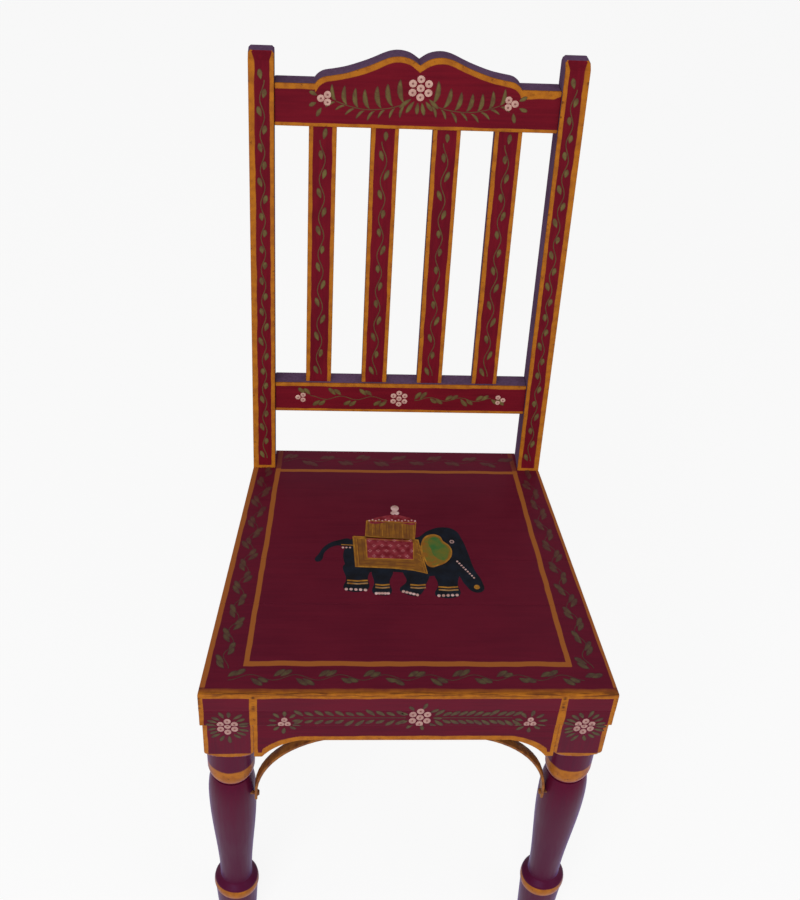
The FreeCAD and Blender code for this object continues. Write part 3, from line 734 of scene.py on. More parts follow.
def leg_profile():
    """Turned part of a leg from the block down, as radius and height."""
    size = front_sizes()
    collar_base = collar_foot()
    collar_middle = collar_base + size.collar_height / 2
    vase_top = collar_base - size.groove_height
    vase_wide = vase_top - size.vase_shoulder
    ring_top = size.foot_height + size.ring_height
    waist = ring_top + size.bell_height

    def at(radius, height):
        return Vector((radius, height))

    def ogee(start, end):
        shares = [step / OGEE_STEPS for step in range(1, OGEE_STEPS + 1)]
        return [at(start.x + (end.x - start.x) * t * t * (3 - 2 * t), start.y + (end.y - start.y) * t)
                for t in shares]

    def ball(radius, middle, top, base):
        heights = [top + (base - top) * step / CURVE_STEPS for step in range(CURVE_STEPS + 1)]
        return [at(math.sqrt(radius ** 2 - (height - middle) ** 2), height) for height in heights]

    def quarter(radius, inner):
        turns = [math.pi / 2 * step / SOLE_STEPS for step in range(SOLE_STEPS + 1)]
        return [at(inner + radius * math.cos(turn), radius * (1 - math.sin(turn))) for turn in turns]

    drum = at(size.collar_radius, BLOCK_BOTTOM)
    widest = at(size.vase_radius, vase_wide)
    narrowest = at(size.waist_radius, waist)
    collar = at(size.collar_radius, collar_middle)
    profile = [drum.lerp(collar, step / DRUM_STEPS) for step in range(DRUM_STEPS)]
    profile += ball(size.collar_radius, collar_middle, collar_middle, collar_base)
    profile += [at(size.groove_radius, collar_base), at(size.groove_radius, vase_top)]
    profile += bulge(at(size.vase_top_radius, vase_top),
                     at(size.vase_cheek_radius, vase_top - size.vase_cheek), widest, CURVE_STEPS)
    profile += ogee(widest, narrowest)
    ring = ball(size.ring_radius, (ring_top + size.foot_height) / 2, ring_top, size.foot_height)
    profile += ogee(narrowest, ring[0]) + ring[1:]
    profile += [at(size.foot_radius, size.foot_height)] + quarter(size.foot_round, size.sole_radius)
    return profile


def leg_rings(side):
    """Rings of a front leg: the square block, its turned shoulder, then the turning."""
    size = front_sizes()
    inner = block_inner()
    front = SEAT_FRONT + size.front_overhang
    rear = front + size.block_width
    axis = Vector((side * (inner + size.block_width / 2), LEG_Y))
    outer_x = [side * (half_width(y) - size.side_overhang) for y in (front, rear)]
    corners = [Vector((side * inner, front)), Vector((outer_x[0], front)), Vector((outer_x[1], rear)),
               Vector((side * inner, rear))]
    outline = []
    ring = rounded(corners, [size.ease] * 4)
    for start, end in zip(ring, ring[1:] + ring[:1]):
        parts = max(1, round((end - start).length / FACET))
        outline += [start.lerp(end, part / parts) - axis for part in range(parts)]
    corner_radius = max(point.length for point in outline)
    shoulder = bulge(Vector((corner_radius, BLOCK_BOTTOM + size.shoulder_height)),
                     Vector(((size.shoulder_radius + 2 * corner_radius) / 3,
                             BLOCK_BOTTOM + size.shoulder_height / 3)),
                     Vector((size.shoulder_radius, BLOCK_BOTTOM)), steps=6)
    rows = [Vector((corner_radius, FRAME_BOTTOM))] + shoulder
    rings = [[(*(axis + point.normalized() * min(point.length, radius)), height) for point in outline]
             for radius, height in rows]
    rings += [[(*(axis + point.normalized() * radius), height) for point in outline]
              for radius, height in leg_profile()]
    return rings


def leg_lines(side):
    """Lines round the front face of a block, and the ochre collar and ring of the turning."""
    size = front_sizes()
    paint = paint_sizes()
    front = SEAT_FRONT + size.front_overhang
    inner = block_inner()
    collar_base = collar_foot()
    collar_top = collar_base + paint.collar_line
    ring = size.foot_height + paint.ring_line / 2
    inner_width = paint.joint_place + paint.joint_line / 2 - inner
    under = 3 * paint.wrap                      # the lower line turns well under the shoulder
    block_foot = BLOCK_BOTTOM - 0.1 * MM        # just under the block's last ring

    def block_line(share):
        return lambda place: share(place) if place.z > block_foot else UNLINED

    def outer_edge(place):
        edge = half_width(place.y) - size.side_overhang - side * place.x
        return edge / paint.end_line + (place.y - front) / paint.wrap

    def inner_edge(place):
        return (side * place.x - inner) / inner_width + (place.y - front) / paint.wrap

    def lower_edge(place):
        return (place.z - BLOCK_BOTTOM) / paint.block_line + (place.y - front) / under

    def turned_rings(place):
        if place.z > block_foot:
            return UNLINED
        collar = 1 + max((place.z - collar_top) / paint.collar_fade, (collar_base - place.z) / paint.wrap)
        return min(collar, abs(place.z - ring) / (paint.ring_line / 2))

    return [block_line(outer_edge), block_line(inner_edge), block_line(lower_edge), turned_rings]


def apron_outline():
    """Lower edge of the front apron from left to right: an ear at each end and a straight middle."""
    size = front_sizes()
    inner = block_inner()
    tip = Vector((inner - size.ear_flat, BLOCK_BOTTOM))
    top = Vector((tip.x - size.ear_run, BLOCK_BOTTOM + size.apron_rise))
    hollow = (tip + top) / 2 + Vector((size.apron_rise, size.ear_run)).normalized() * size.ear_sag
    right = [Vector((0.0, top.y))] + bulge(top, hollow, tip, steps=12) + [Vector((inner, BLOCK_BOTTOM))]
    return [Vector((-x, z)) for x, z in reversed(right[1:])] + right


def build_front():
    """Front legs and the four aprons."""
    size = front_sizes()
    paint = paint_sizes()
    # The legs take the darker front maroon and, below their blocks, a purple painted shade that deepens
    # towards the foot.
    turned = maroon_enamel("gloss_enamel_turned_painted_shade", UPRIGHT_STROKE, "front_", legs=True)
    # The aprons take the darker front copy of the maroon: painted shade.
    across = maroon_enamel("gloss_enamel_apron_painted_shade", ACROSS_STROKE, "front_")
    sideways = maroon_enamel("gloss_enamel_sideways_painted_shade", SIDEWAYS_STROKE, "front_")
    eases = [size.ease] * 4
    right = Vector((1.0, 0.0, 0.0))
    back = Vector((0.0, 1.0, 0.0))
    for name, side in SIDES:
        painted_wood("front_leg_" + name, leg_rings(side), turned, leg_lines(side))

    outline = apron_outline()
    front = apron_low.y
    rear = apron_high.y
    sections = [[Vector((x, y, z)) for z, y in four_corners(bottom, FRAME_BOTTOM, front, rear)]
                for x, bottom in outline]

    def ear_line(place):
        bottom, flatness = height_at(outline, place.x)
        return (place.z - bottom) * flatness / paint.ear_line + (place.y - front) / paint.wrap

    ends = paint.joint_line / 2 - (paint.joint_place - block_inner())
    lines = [ear_line, arris(Vector((-block_inner(), front, 0.0)), right, ends, back, paint.wrap),
             arris(Vector((block_inner(), front, 0.0)), -right, ends, back, paint.wrap)]
    painted_wood("front_apron", eased_rings(sections, eases), across, lines)

    for name, side in SIDES:
        rings = side_rings(side, size.side_overhang, rear - front, BLOCK_BOTTOM, FRAME_BOTTOM, eases)
        painted_wood("side_apron_" + name, rings, sideways)
    painted_wood("rear_apron", rear_rings("rear_apron", eases), across)


# Iron straps, nails and pegs
def strap_rings(low, high, side):
    """Rings of a bent strap: flat under the apron, a quarter bend, then down the leg."""
    size = bpy.context.scene.chair_iron
    start = min(abs(low.x), abs(high.x))
    reach = max(abs(low.x), abs(high.x))
    bend = reach - start - size.flat
    centre = Vector((start + size.flat, high.z - bend))
    path = [(Vector((start, high.z)), Vector((0.0, 1.0)))]
    for step in range(OGEE_STEPS + 1):
        angle = math.pi / 2 * (1 - step / OGEE_STEPS)
        outwards = Vector((math.cos(angle), math.sin(angle)))
        path.append((centre + outwards * bend, outwards))
    path.append((Vector((reach, low.z)), Vector((1.0, 0.0))))
    sections = []
    for outer, outwards in path:
        corners = four_corners(low.y, high.y, outer, outer - outwards * size.thickness)
        sections.append([Vector((side * point.x, y, point.y)) for y, point in corners])
    return eased_rings(sections, [size.ease] * 4)


def build_iron():
    """Painted iron straps with their nails, the nails under the seat and the pegs of the back."""
    iron = strap_paint()
    nail = nail_iron()
    wood = peg_wood()
    for name, side in SIDES:
        node = "strap_" + name
        low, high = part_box(node)
        mesh = loft(node + "_painted", strap_rings(low, high, side))
        outward(mesh)
        mesh.materials.append(iron)
        mesh.shade_smooth()
        mesh.set_sharp_from_angle(angle=WOOD_SHARP)
        add_piece(node + "_painted", mesh, [node])
    for node, material in (("strap_nails_left", iron), ("strap_nails_right", iron), ("seat_nails", nail),
                           ("back_rail_pegs", wood)):
        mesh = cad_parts[node].data
        mesh.materials.clear()
        mesh.materials.append(material)


# Materials
MATH = "ShaderNodeMath"
RANGE = "ShaderNodeMapRange"
MIX = "ShaderNodeMix"
NOISE = "ShaderNodeTexNoise"
BRUSH_WIDTH = 3 * MM
BRUSH_LENGTH = 60 * MM
UPRIGHT_STROKE = (BRUSH_WIDTH, BRUSH_WIDTH, BRUSH_LENGTH)      # a brush mark along x, y and z
ACROSS_STROKE = (BRUSH_LENGTH, BRUSH_WIDTH, BRUSH_WIDTH)
SIDEWAYS_STROKE = (BRUSH_WIDTH, BRUSH_LENGTH, BRUSH_WIDTH)
CLOUD = 70 * MM         # patches of thick and thin paint
WAVER = 30 * MM         # swerves of a line drawn by hand
BLOTCH = 9 * MM         # thin places in the ochre
SPECK = 4 * MM          # chips on the arrises
HAIR = 0.8 * MM         # marks of the brush's hairs


def set_inputs(tree, node, inputs):
    """Sets a node's inputs: a constant as it is, and another node or one of its outputs by a link."""
    for key, value in inputs.items():
        if isinstance(value, bpy.types.Node):
            value = next(output for output in value.outputs if output.enabled)
        if isinstance(value, bpy.types.NodeSocket):
            tree.links.new(value, node.inputs[key])
        else:
            node.inputs[key].default_value = value


def add_node(tree, kind, inputs=None, **settings):
    """Adds a node with its settings and its inputs.

    Inputs go by name, or by place where several have one name. Of a Map Range, 0 is the value, 1 and 2
    are the range it comes from, 3 and 4 the one it goes to. Of a colour Mix, 0 is the share, 6 and 7
    are the colours.
    """
    node = tree.nodes.new(kind)
    for name, value in settings.items():
        setattr(node, name, value)
    set_inputs(tree, node, inputs or {})
    return node


def new_material(name, **constants):
    """Empty material with a principled shader whose constant sockets are set."""
    material = bpy.data.materials.new(name)
    material.use_nodes = True
    tree = material.node_tree
    tree.nodes.clear()
    shader = add_node(tree, "ShaderNodeBsdfPrincipled")
    for socket, value in constants.items():
        shader.inputs[socket.replace("_", " ").title().replace("Ior", "IOR")].default_value = value
    add_node(tree, "ShaderNodeOutputMaterial", {"Surface": shader})
    return material, tree, shader


def rgba(value):
    """Colour of a property as a socket takes it."""
    return (*value, 1.0)


def turned_painted_shade(add, place, body):
    """Painted shade of the turned legs: a dark purple over the maroon of their blocks, deeper towards the
    foot, where shade falls under the seat.
    """
    height = add("ShaderNodeSeparateXYZ", {0: place}).outputs["Z"]
    deeper = add(RANGE, {0: height, 1: BLOCK_BOTTOM - 200 * MM, 2: BLOCK_BOTTOM - 70 * MM, 3: 0.95, 4: 0.55})
    turned = add(MATH, {0: height, 1: BLOCK_BOTTOM}, operation="LESS_THAN")
    purple = add(MATH, {0: deeper, 1: turned}, operation="MULTIPLY")
    return add(MIX, {0: purple, 6: body, 7: rgba(paint_colours().leg_painted_shade)}, data_type="RGBA")


def line_share(add):
    """Way across the nearest painted line: 0 on its arris, and 1 where its paint ends."""
    rim = add("ShaderNodeAttribute", attribute_name="rim", attribute_type="GEOMETRY")
    nearest = rim.outputs["Alpha"]
    for share in add("ShaderNodeSeparateColor", {0: rim.outputs["Color"]}).outputs:
        nearest = add(MATH, {0: nearest, 1: share}, operation="MINIMUM")
    return nearest


def seat_ochre_tones(add, place, ochre, nose_tone):
    """Ochre of the seat, and where its nose is. Behind the nose the ochre is a redder, darker and bluer copy,
    as painted shade with a bluish painted sky reflection; over the nose's top it grows darker towards the
    back.
    """
    paints = paint_colours()
    depth = add("ShaderNodeSeparateXYZ", {0: place}).outputs["Y"]
    nose = SEAT_FRONT + paint_sizes().nose_line
    # Over the nose's top the ochre grows darker towards the back.
    darker_towards_back = add(RANGE, {0: depth, 1: SEAT_FRONT + 2 * MM, 2: nose, 4: 0.7})
    on_nose = add(MATH, {0: depth, 1: nose + 2 * MM}, operation="LESS_THAN")
    # Behind the nose the ochre takes its darker, bluer copy: painted shade with a bluish painted sky
    # reflection.
    behind = add(MIX, {0: on_nose, 6: rgba(paints.seat_ochre), 7: ochre}, data_type="RGBA")
    darkened = add(MATH, {0: darker_towards_back, 1: on_nose}, operation="MULTIPLY")
    return add(MIX, {0: darkened, 6: behind, 7: nose_tone}, data_type="RGBA"), on_nose


def maroon_enamel(name, stroke, ground="", seat=False, legs=False, narrow=False):
    """Gloss enamel brushed by hand over wood and dulled with age: deep maroon with streaks along each
    piece, and ochre edge lines whose borders waver and whose arrises are chipped. The eye sees a full
    colour under a faint, soft sheen, which is stronger and bluish on the turned legs."""
    if name in bpy.data.materials:
        return bpy.data.materials[name]
    paints = paint_colours()
    # Besides the back's own maroon, these grounds are darker copies of it for places in less light: painted
    # shade, bluish like a painted sky reflection on the seat's top and the narrow sides.
    full = rgba(getattr(paints, ground + "maroon"))
    shade = rgba(getattr(paints, ground + "maroon_shade"))
    # The narrow sides get neither gloss nor sheen: their grey-violet is itself a painted sky reflection and
    # painted shade.
    gleam, bloom = (0.1, 0.65) if legs else (0.0, 0.0) if narrow else (0.06, 0.08)
    material, tree, shader = new_material(name, specular_ior_level=gleam, specular_tint=(0.5, 0.5, 1.0, 1.0),
                                          sheen_weight=bloom, sheen_roughness=0.3,
                                          sheen_tint=(0.16, 0.13, 0.55, 1.0))
    add = partial(add_node, tree)
    place = add("ShaderNodeTexCoord").outputs["Object"]
    along = add("ShaderNodeMapping", {"Vector": place, "Scale": [1 / size for size in stroke]})
    brush = add(NOISE, {"Vector": along, "Scale": 1.0, "Detail": 4.0})
    cloud = add(NOISE, {"Vector": place, "Scale": 1 / CLOUD, "Detail": 3.0})
    waver = add(NOISE, {"Vector": place, "Scale": 1 / WAVER, "Detail": 2.0})
    blotch = add(NOISE, {"Vector": place, "Scale": 1 / BLOTCH, "Detail": 3.0})
    streak = add(MATH, {0: brush, 1: cloud}, operation="ADD")
    depth = add(RANGE, {0: streak, 1: 0.8, 2: 1.2})
    body = add(MIX, {0: depth, 6: shade, 7: full}, data_type="RGBA")
    if legs:
        body = turned_painted_shade(add, place, body)

    nearest = line_share(add)
    drift = add(RANGE, {0: waver, 1: 0.3, 2: 0.7, 3: -0.1, 4: 0.1})
    ragged = add(MATH, {0: nearest, 1: drift}, operation="ADD")
    painted = add(RANGE, {0: ragged, 1: 0.93, 2: 1.07, 3: 1.0, 4: 0.0})
    thin = add(RANGE, {0: blotch, 1: 0.32, 2: 0.6})
    ochre = add(MIX, {0: thin, 6: rgba(paints.ochre_shade), 7: rgba(paints.ochre)}, data_type="RGBA")
    edge = add(RANGE, {0: nearest, 1: 0.1, 2: 0.8, 3: 1.0, 4: 0.0})
    if seat:
        framed = seat_frame_line(add, place, drift)
        painted = add(MATH, {0: painted, 1: framed}, operation="MAXIMUM")
        ochre, on_nose = seat_ochre_tones(add, place, ochre, shade)
        edge = add(MATH, {0: edge, 1: on_nose}, operation="MULTIPLY")
        speck = add(NOISE, {"Vector": along, "Scale": 2.2, "Detail": 3.0})
        bare = 0.46
    else:
        speck = add(NOISE, {"Vector": place, "Scale": 1 / SPECK, "Detail": 3.0})
        bare = 0.61
    worn = add(RANGE, {0: speck, 1: bare, 2: bare + 0.1, 3: 0.0, 4: 0.8})
    chip = add(MATH, {0: edge, 1: worn}, operation="MULTIPLY")
    lined = add(MIX, {0: painted, 6: body, 7: ochre}, data_type="RGBA")
    final = add(MIX, {0: chip, 6: lined, 7: rgba(paints.chip)}, data_type="RGBA")

    gloss = add(RANGE, {0: streak, 1: 0.7, 2: 1.3, 3: 0.32, 4: 0.48})
    raised = add(MATH, {0: painted, 1: streak}, operation="ADD")
    bump = add("ShaderNodeBump", {"Strength": 0.12, "Distance": 0.4 * MM, "Height": raised})
    set_inputs(tree, shader, {"Base Color": final, "Roughness": gloss, "Normal": bump})
    return material


def seat_frame_line(add, place, drift):
    """Ochre rectangle on the seat's top, whose sides run on to the back edge."""
    paint = paint_sizes()
    front = SEAT_FRONT + paint.frame_front
    back = SEAT_FRONT + paint.frame_back
    narrowing = (paint.frame_half - paint.frame_half_back) / (back - front)
    x, y, z = add("ShaderNodeSeparateXYZ", {0: place}).outputs
    across = add(MATH, {0: x}, operation="ABSOLUTE")
    run = add(MATH, {0: y, 1: front}, operation="SUBTRACT")
    slant = add(MATH, {0: run, 1: narrowing, 2: across}, operation="MULTIPLY_ADD")
    inside = add(MATH, {0: paint.frame_half, 1: slant}, operation="SUBTRACT")
    behind = add(MATH, {0: back, 1: y}, operation="SUBTRACT")
    on_top = add(MATH, {0: z, 1: SEAT_TOP - MM}, operation="GREATER_THAN")
    faint = add(RANGE, {0: behind, 1: -2 * MM, 2: 0.0, 3: 0.3, 4: 1.0})
    painted = 0.0
    for distance, width, limit, strength in ((inside, paint.frame_side_line, run, faint),
                                             (run, paint.frame_line, inside, 1.0),
                                             (behind, paint.frame_back_line, inside, 1.0)):
        share = add(MATH, {0: distance, 1: 1 / width, 2: drift}, operation="MULTIPLY_ADD")
        off = add(MATH, {0: share, 1: 0.5}, operation="SUBTRACT")
        away = add(MATH, {0: off}, operation="ABSOLUTE")
        band = add(RANGE, {0: away, 1: 0.44, 2: 0.56, 3: 1.0, 4: 0.0})
        within = add(MATH, {0: limit, 1: 0.0}, operation="GREATER_THAN")
        solid = add(MATH, {0: within, 1: strength}, operation="MULTIPLY")
        kept = add(MATH, {0: band, 1: solid}, operation="MULTIPLY")
        painted = add(MATH, {0: kept, 1: painted}, operation="MAXIMUM")
    return add(MATH, {0: painted, 1: on_top}, operation="MULTIPLY")


def stroke_paint(name, light, dark, patch=7 * MM, brushed=False, darker_towards_back=None):
    """Oil paint laid on in single brush strokes: satin, a little uneven, thinner and darker in places.
    A brushed stroke is thick in its middle and lets the ground darken its edges. One on the seat can be mixed
    into a given darker colour towards the back."""
    if name in bpy.data.materials:
        return bpy.data.materials[name]
    material, tree, shader = new_material(name, specular_ior_level=0.1)
    add = partial(add_node, tree)
    place = add("ShaderNodeTexCoord").outputs["Object"]
    body = add(NOISE, {"Vector": place, "Scale": 1 / patch, "Detail": 3.0})
    hair = add(NOISE, {"Vector": place, "Scale": 1 / HAIR, "Detail": 2.0})
    thick = add(RANGE, {0: body, 1: 0.35, 2: 0.65})
    if brushed:
        middle = add("ShaderNodeAttribute", attribute_name="thick", attribute_type="GEOMETRY")
        uneven = add(RANGE, {0: thick, 3: 0.35, 4: 1.0})
        thick = add(MATH, {0: uneven, 1: middle.outputs["Fac"]}, operation="MULTIPLY")
    tint = add(MIX, {0: thick, 6: rgba(dark), 7: rgba(light)}, data_type="RGBA")
    # Towards the seat's back, the stroke is mixed into the given darker colour.
    if darker_towards_back:
        depth = add("ShaderNodeSeparateXYZ", {0: place}).outputs["Y"]
        wear = add(RANGE, {0: depth, 1: SEAT_FRONT, 2: POST_FRONT, 4: 0.6})
        tint = add(MIX, {0: wear, 6: tint, 7: rgba(darker_towards_back)}, data_type="RGBA")
    gloss = add(RANGE, {0: body, 3: 0.36, 4: 0.55})
    bump = add("ShaderNodeBump", {"Strength": 0.2, "Distance": 0.1 * MM, "Height": hair})
    set_inputs(tree, shader, {"Base Color": tint, "Roughness": gloss, "Normal": bump})
    return material


def strap_paint():
    """Ochre paint over forged iron: uneven, with rust-brown and dark places where it has rubbed off."""
    paints = paint_colours()
    return stroke_paint("ochre_paint_on_iron", paints.strap, paints.strap_shade, 9 * MM)


def nail_iron():
    """Forged iron nails gone brown-black with age: dull, with a rusty bloom."""
    material, tree, shader = new_material("forged_iron", metallic=0.75)
    add = partial(add_node, tree)
    place = add("ShaderNodeTexCoord").outputs["Object"]
    rust = add(NOISE, {"Vector": place, "Scale": 1 / (2 * MM), "Detail": 4.0})
    bloom = add(RANGE, {0: rust, 1: 0.45, 2: 0.65})
    tint = add(MIX, {0: bloom, 6: rgba(srgb("#2e2926")), 7: rgba(srgb("#5a3a28"))}, data_type="RGBA")
    rough = add(RANGE, {0: rust, 3: 0.45, 4: 0.8})
    set_inputs(tree, shader, {"Base Color": tint, "Roughness": rough})
    return material


def peg_wood():
    """End grain of a hardwood peg: fine dark pores on warm brown, left bare and dulled by handling."""
    material, tree, shader = new_material("bare_hardwood", ior=1.45)
    add = partial(add_node, tree)
    place = add("ShaderNodeTexCoord").outputs["Object"]
    pores = add(NOISE, {"Vector": place, "Scale": 1 / (0.7 * MM), "Detail": 2.0})
    spots = add(RANGE, {0: pores, 1: 0.4, 2: 0.6})
    tint = add(MIX, {0: spots, 6: rgba(srgb("#4e2f1c")), 7: rgba(srgb("#8a5c36"))}, data_type="RGBA")
    rough = add(RANGE, {0: pores, 3: 0.55, 4: 0.75})
    set_inputs(tree, shader, {"Base Color": tint, "Roughness": rough})
    return material


# Brush strokes by geometry nodes
STEM_PAINT = 0.45           # how thick a stem's paint is, where 1 is the middle of a leaf
LEAF_SWAY = 0.16            # most that a leaf turns by chance, in radians
LEAF_GROWTH = (0.84, 1.14)  # least and most share of its length that a leaf has by chance
HEART_LIFT = 1.25           # height of a dot's heart over the dot's own
CREST_FLOWER = (1.6 * MM, 472 * MM)      # across, and up the back from the seat
APRON_FLOWER = (12 * MM, -37.6 * MM)     # across, and from the top of the seat
END_FLOWER = (129 * MM, -46 * MM)
BLOCK_FLOWER = (188 * MM, -54 * MM)


def new_tree(name, sockets):
    """Geometry node tree with named inputs, and its two end nodes."""
    tree = bpy.data.node_groups.new(name, "GeometryNodeTree")
    tree.interface.new_socket("Geometry", in_out="INPUT", socket_type="NodeSocketGeometry")
    for socket, kind in sockets.items():
        tree.interface.new_socket(socket, in_out="INPUT", socket_type="NodeSocket" + kind)
    tree.interface.new_socket("Geometry", in_out="OUTPUT", socket_type="NodeSocketGeometry")
    return tree, tree.nodes.new("NodeGroupInput").outputs


def vine_tree():
    """Tree for a painted vine: a thin stem along a path, and leaf strokes beside it."""
    name = "painted_vine"
    if name in bpy.data.node_groups:
        return bpy.data.node_groups[name]
    tree, given = new_tree(name, {
        "Leaf": "Object", "Leaves": "Int", "Strokes": "Int", "Stroke Gap": "Float", "Leaf Length": "Float",
        "End Length": "Float", "Leaf Width": "Float", "Lean": "Float", "End Lean": "Float",
        "Stand Off": "Float", "Side": "Float", "Stem Width": "Float", "Relief": "Float", "Seed": "Int",
        "Paint": "Material"})
    add = partial(add_node, tree)
    profile = add("GeometryNodeCurvePrimitiveQuadrilateral",
                  {"Width": given["Stem Width"], "Height": given["Relief"]})
    stem = add("GeometryNodeCurveToMesh",
               {"Curve": given["Geometry"], "Profile Curve": profile, "Fill Caps": True})
    has_stem = add("FunctionNodeCompare", {0: given["Stem Width"], 1: 0.0}, operation="GREATER_THAN")
    full_stem = add("GeometryNodeStoreNamedAttribute",
                    {"Geometry": stem, "Name": "thick", "Value": STEM_PAINT}, data_type="FLOAT")
    shown = add("GeometryNodeSwitch", {"Switch": has_stem, "True": full_stem}, input_type="GEOMETRY")

    spots = add("GeometryNodeCurveToPoints", {"Curve": given["Geometry"], "Count": given["Leaves"]},
                mode="COUNT")
    doubled = add("GeometryNodeDuplicateElements",
                  {"Geometry": spots.outputs["Points"], "Amount": given["Strokes"]}, domain="POINT")
    index = add("GeometryNodeInputIndex")
    spot = add(MATH, {0: index, 1: given["Strokes"]}, operation="DIVIDE")
    whole = add(MATH, {0: spot}, operation="FLOOR")
    odd = add(MATH, {0: whole, 1: 2.0}, operation="MODULO")
    turn = add(MATH, {0: odd, 1: -2.0, 2: 1.0}, operation="MULTIPLY_ADD")
    fixed = add(MATH, {0: given["Side"]}, operation="ABSOLUTE")
    free = add(MATH, {0: 1.0, 1: fixed}, operation="SUBTRACT")
    side = add(MATH, {0: free, 1: turn, 2: given["Side"]}, operation="MULTIPLY_ADD")

    tangent = spots.outputs["Tangent"]
    heading = add("ShaderNodeSeparateXYZ", {0: tangent}).outputs
    leftward = add(MATH, {0: heading["Y"], 1: -1.0}, operation="MULTIPLY")
    left = add("ShaderNodeCombineXYZ", {"X": leftward, "Y": heading["X"]})
    away = add(MATH, {0: side, 1: given["Stand Off"]}, operation="MULTIPLY")
    beside = add("ShaderNodeVectorMath", {0: left, "Scale": away}, operation="SCALE")
    gap = add(MATH, {0: doubled.outputs["Duplicate Index"], 1: given["Stroke Gap"]}, operation="MULTIPLY")
    ahead = add("ShaderNodeVectorMath", {0: tangent, "Scale": gap}, operation="SCALE")
    offset = add("ShaderNodeVectorMath", {0: beside, 1: ahead}, operation="ADD")
    moved = add("GeometryNodeSetPosition", {"Geometry": doubled, "Offset": offset})

    bearing = add(MATH, {0: heading["Y"], 1: heading["X"]}, operation="ARCTAN2")
    sway = add("FunctionNodeRandomValue", {2: -LEAF_SWAY, 3: LEAF_SWAY, "Seed": given["Seed"]},
               data_type="FLOAT")
    reach = add(MATH, {0: whole, 1: given["Leaves"]}, operation="DIVIDE")
    slope = add(RANGE, {0: reach, 3: given["Lean"], 4: given["End Lean"]})
    lean = add(MATH, {0: slope, 1: sway}, operation="ADD")
    angle = add(MATH, {0: side, 1: lean, 2: bearing}, operation="MULTIPLY_ADD")
    rotation = add("ShaderNodeCombineXYZ", {"Z": angle})
    growth = add("FunctionNodeRandomValue", {2: LEAF_GROWTH[0], 3: LEAF_GROWTH[1], "Seed": given["Seed"]},
                 data_type="FLOAT")
    span = add(RANGE, {0: reach, 3: given["Leaf Length"], 4: given["End Length"]})
    long = add(MATH, {0: span, 1: growth}, operation="MULTIPLY")
    broad = add(MATH, {0: given["Leaf Width"], 1: side}, operation="MULTIPLY")
    scale = add("ShaderNodeCombineXYZ", {"X": long, "Y": broad, "Z": given["Relief"]})
    leaf = add("GeometryNodeObjectInfo", {"Object": given["Leaf"]})
    leaves = add("GeometryNodeInstanceOnPoints", {"Points": moved, "Instance": leaf.outputs["Geometry"],
                                                  "Rotation": rotation, "Scale": scale})
    joined = add("GeometryNodeJoinGeometry", {"Geometry": shown})
    set_inputs(tree, joined, {"Geometry": leaves})
    real = add("GeometryNodeRealizeInstances", {"Geometry": joined})
    dressed = add("GeometryNodeSetMaterial", {"Geometry": real, "Material": given["Paint"]})
    add("NodeGroupOutput", {"Geometry": dressed})
    return tree


def flower_tree():
    """Tree for dot flowers: a ring of domed dots, each with a darker heart, at every point given."""
    name = "dot_flowers"
    if name in bpy.data.node_groups:
        return bpy.data.node_groups[name]
    tree, given = new_tree(name, {
        "Petals": "Int", "Middle": "Int", "Ring": "Float", "Dot": "Float", "Stretch": "Float",
        "Turn": "Float", "Heart": "Float", "Relief": "Float", "Petal Paint": "Material",
        "Heart Paint": "Material"})
    add = partial(add_node, tree)
    index = add("GeometryNodeInputIndex")
    total = add(MATH, {0: given["Petals"], 1: given["Middle"]}, operation="ADD")
    step = add(MATH, {0: 2 * math.pi, 1: given["Petals"]}, operation="DIVIDE")
    angle = add(MATH, {0: index, 1: step, 2: given["Turn"]}, operation="MULTIPLY_ADD")
    outer = add(MATH, {0: index, 1: given["Petals"]}, operation="LESS_THAN")
    reach = add(MATH, {0: outer, 1: given["Ring"]}, operation="MULTIPLY")
    cosine = add(MATH, {0: angle}, operation="COSINE")
    sine = add(MATH, {0: angle}, operation="SINE")
    across = add(MATH, {0: cosine, 1: reach}, operation="MULTIPLY")
    along = add(MATH, {0: sine, 1: reach}, operation="MULTIPLY")
    high = add(MATH, {0: along, 1: given["Stretch"]}, operation="MULTIPLY")
    spot = add("ShaderNodeCombineXYZ", {"X": across, "Y": high})
    ring = add("GeometryNodePoints", {"Count": total, "Position": spot})
    flower = add("GeometryNodeInstanceOnPoints", {"Points": given["Geometry"], "Instance": ring})
    dots = add("GeometryNodeRealizeInstances", {"Geometry": flower})
    ball = add("GeometryNodeMeshUVSphere", {"Segments": 12, "Rings": 6, "Radius": 1.0})
    joined = add("GeometryNodeJoinGeometry")
    for share, lift, paint in ((1.0, 1.0, "Petal Paint"), (given["Heart"], HEART_LIFT, "Heart Paint")):
        radius = add(MATH, {0: given["Dot"], 1: share}, operation="MULTIPLY")
        height = add(MATH, {0: given["Relief"], 1: lift}, operation="MULTIPLY")
        tall = add(MATH, {0: radius, 1: given["Stretch"]}, operation="MULTIPLY")
        scale = add("ShaderNodeCombineXYZ", {"X": radius, "Y": tall, "Z": height})
        placed = add("GeometryNodeInstanceOnPoints", {"Points": dots, "Instance": ball, "Scale": scale})
        real = add("GeometryNodeRealizeInstances", {"Geometry": placed})
        dressed = add("GeometryNodeSetMaterial", {"Geometry": real, "Material": given[paint]})
        set_inputs(tree, joined, {"Geometry": dressed})
    add("NodeGroupOutput", {"Geometry": joined})
    return tree


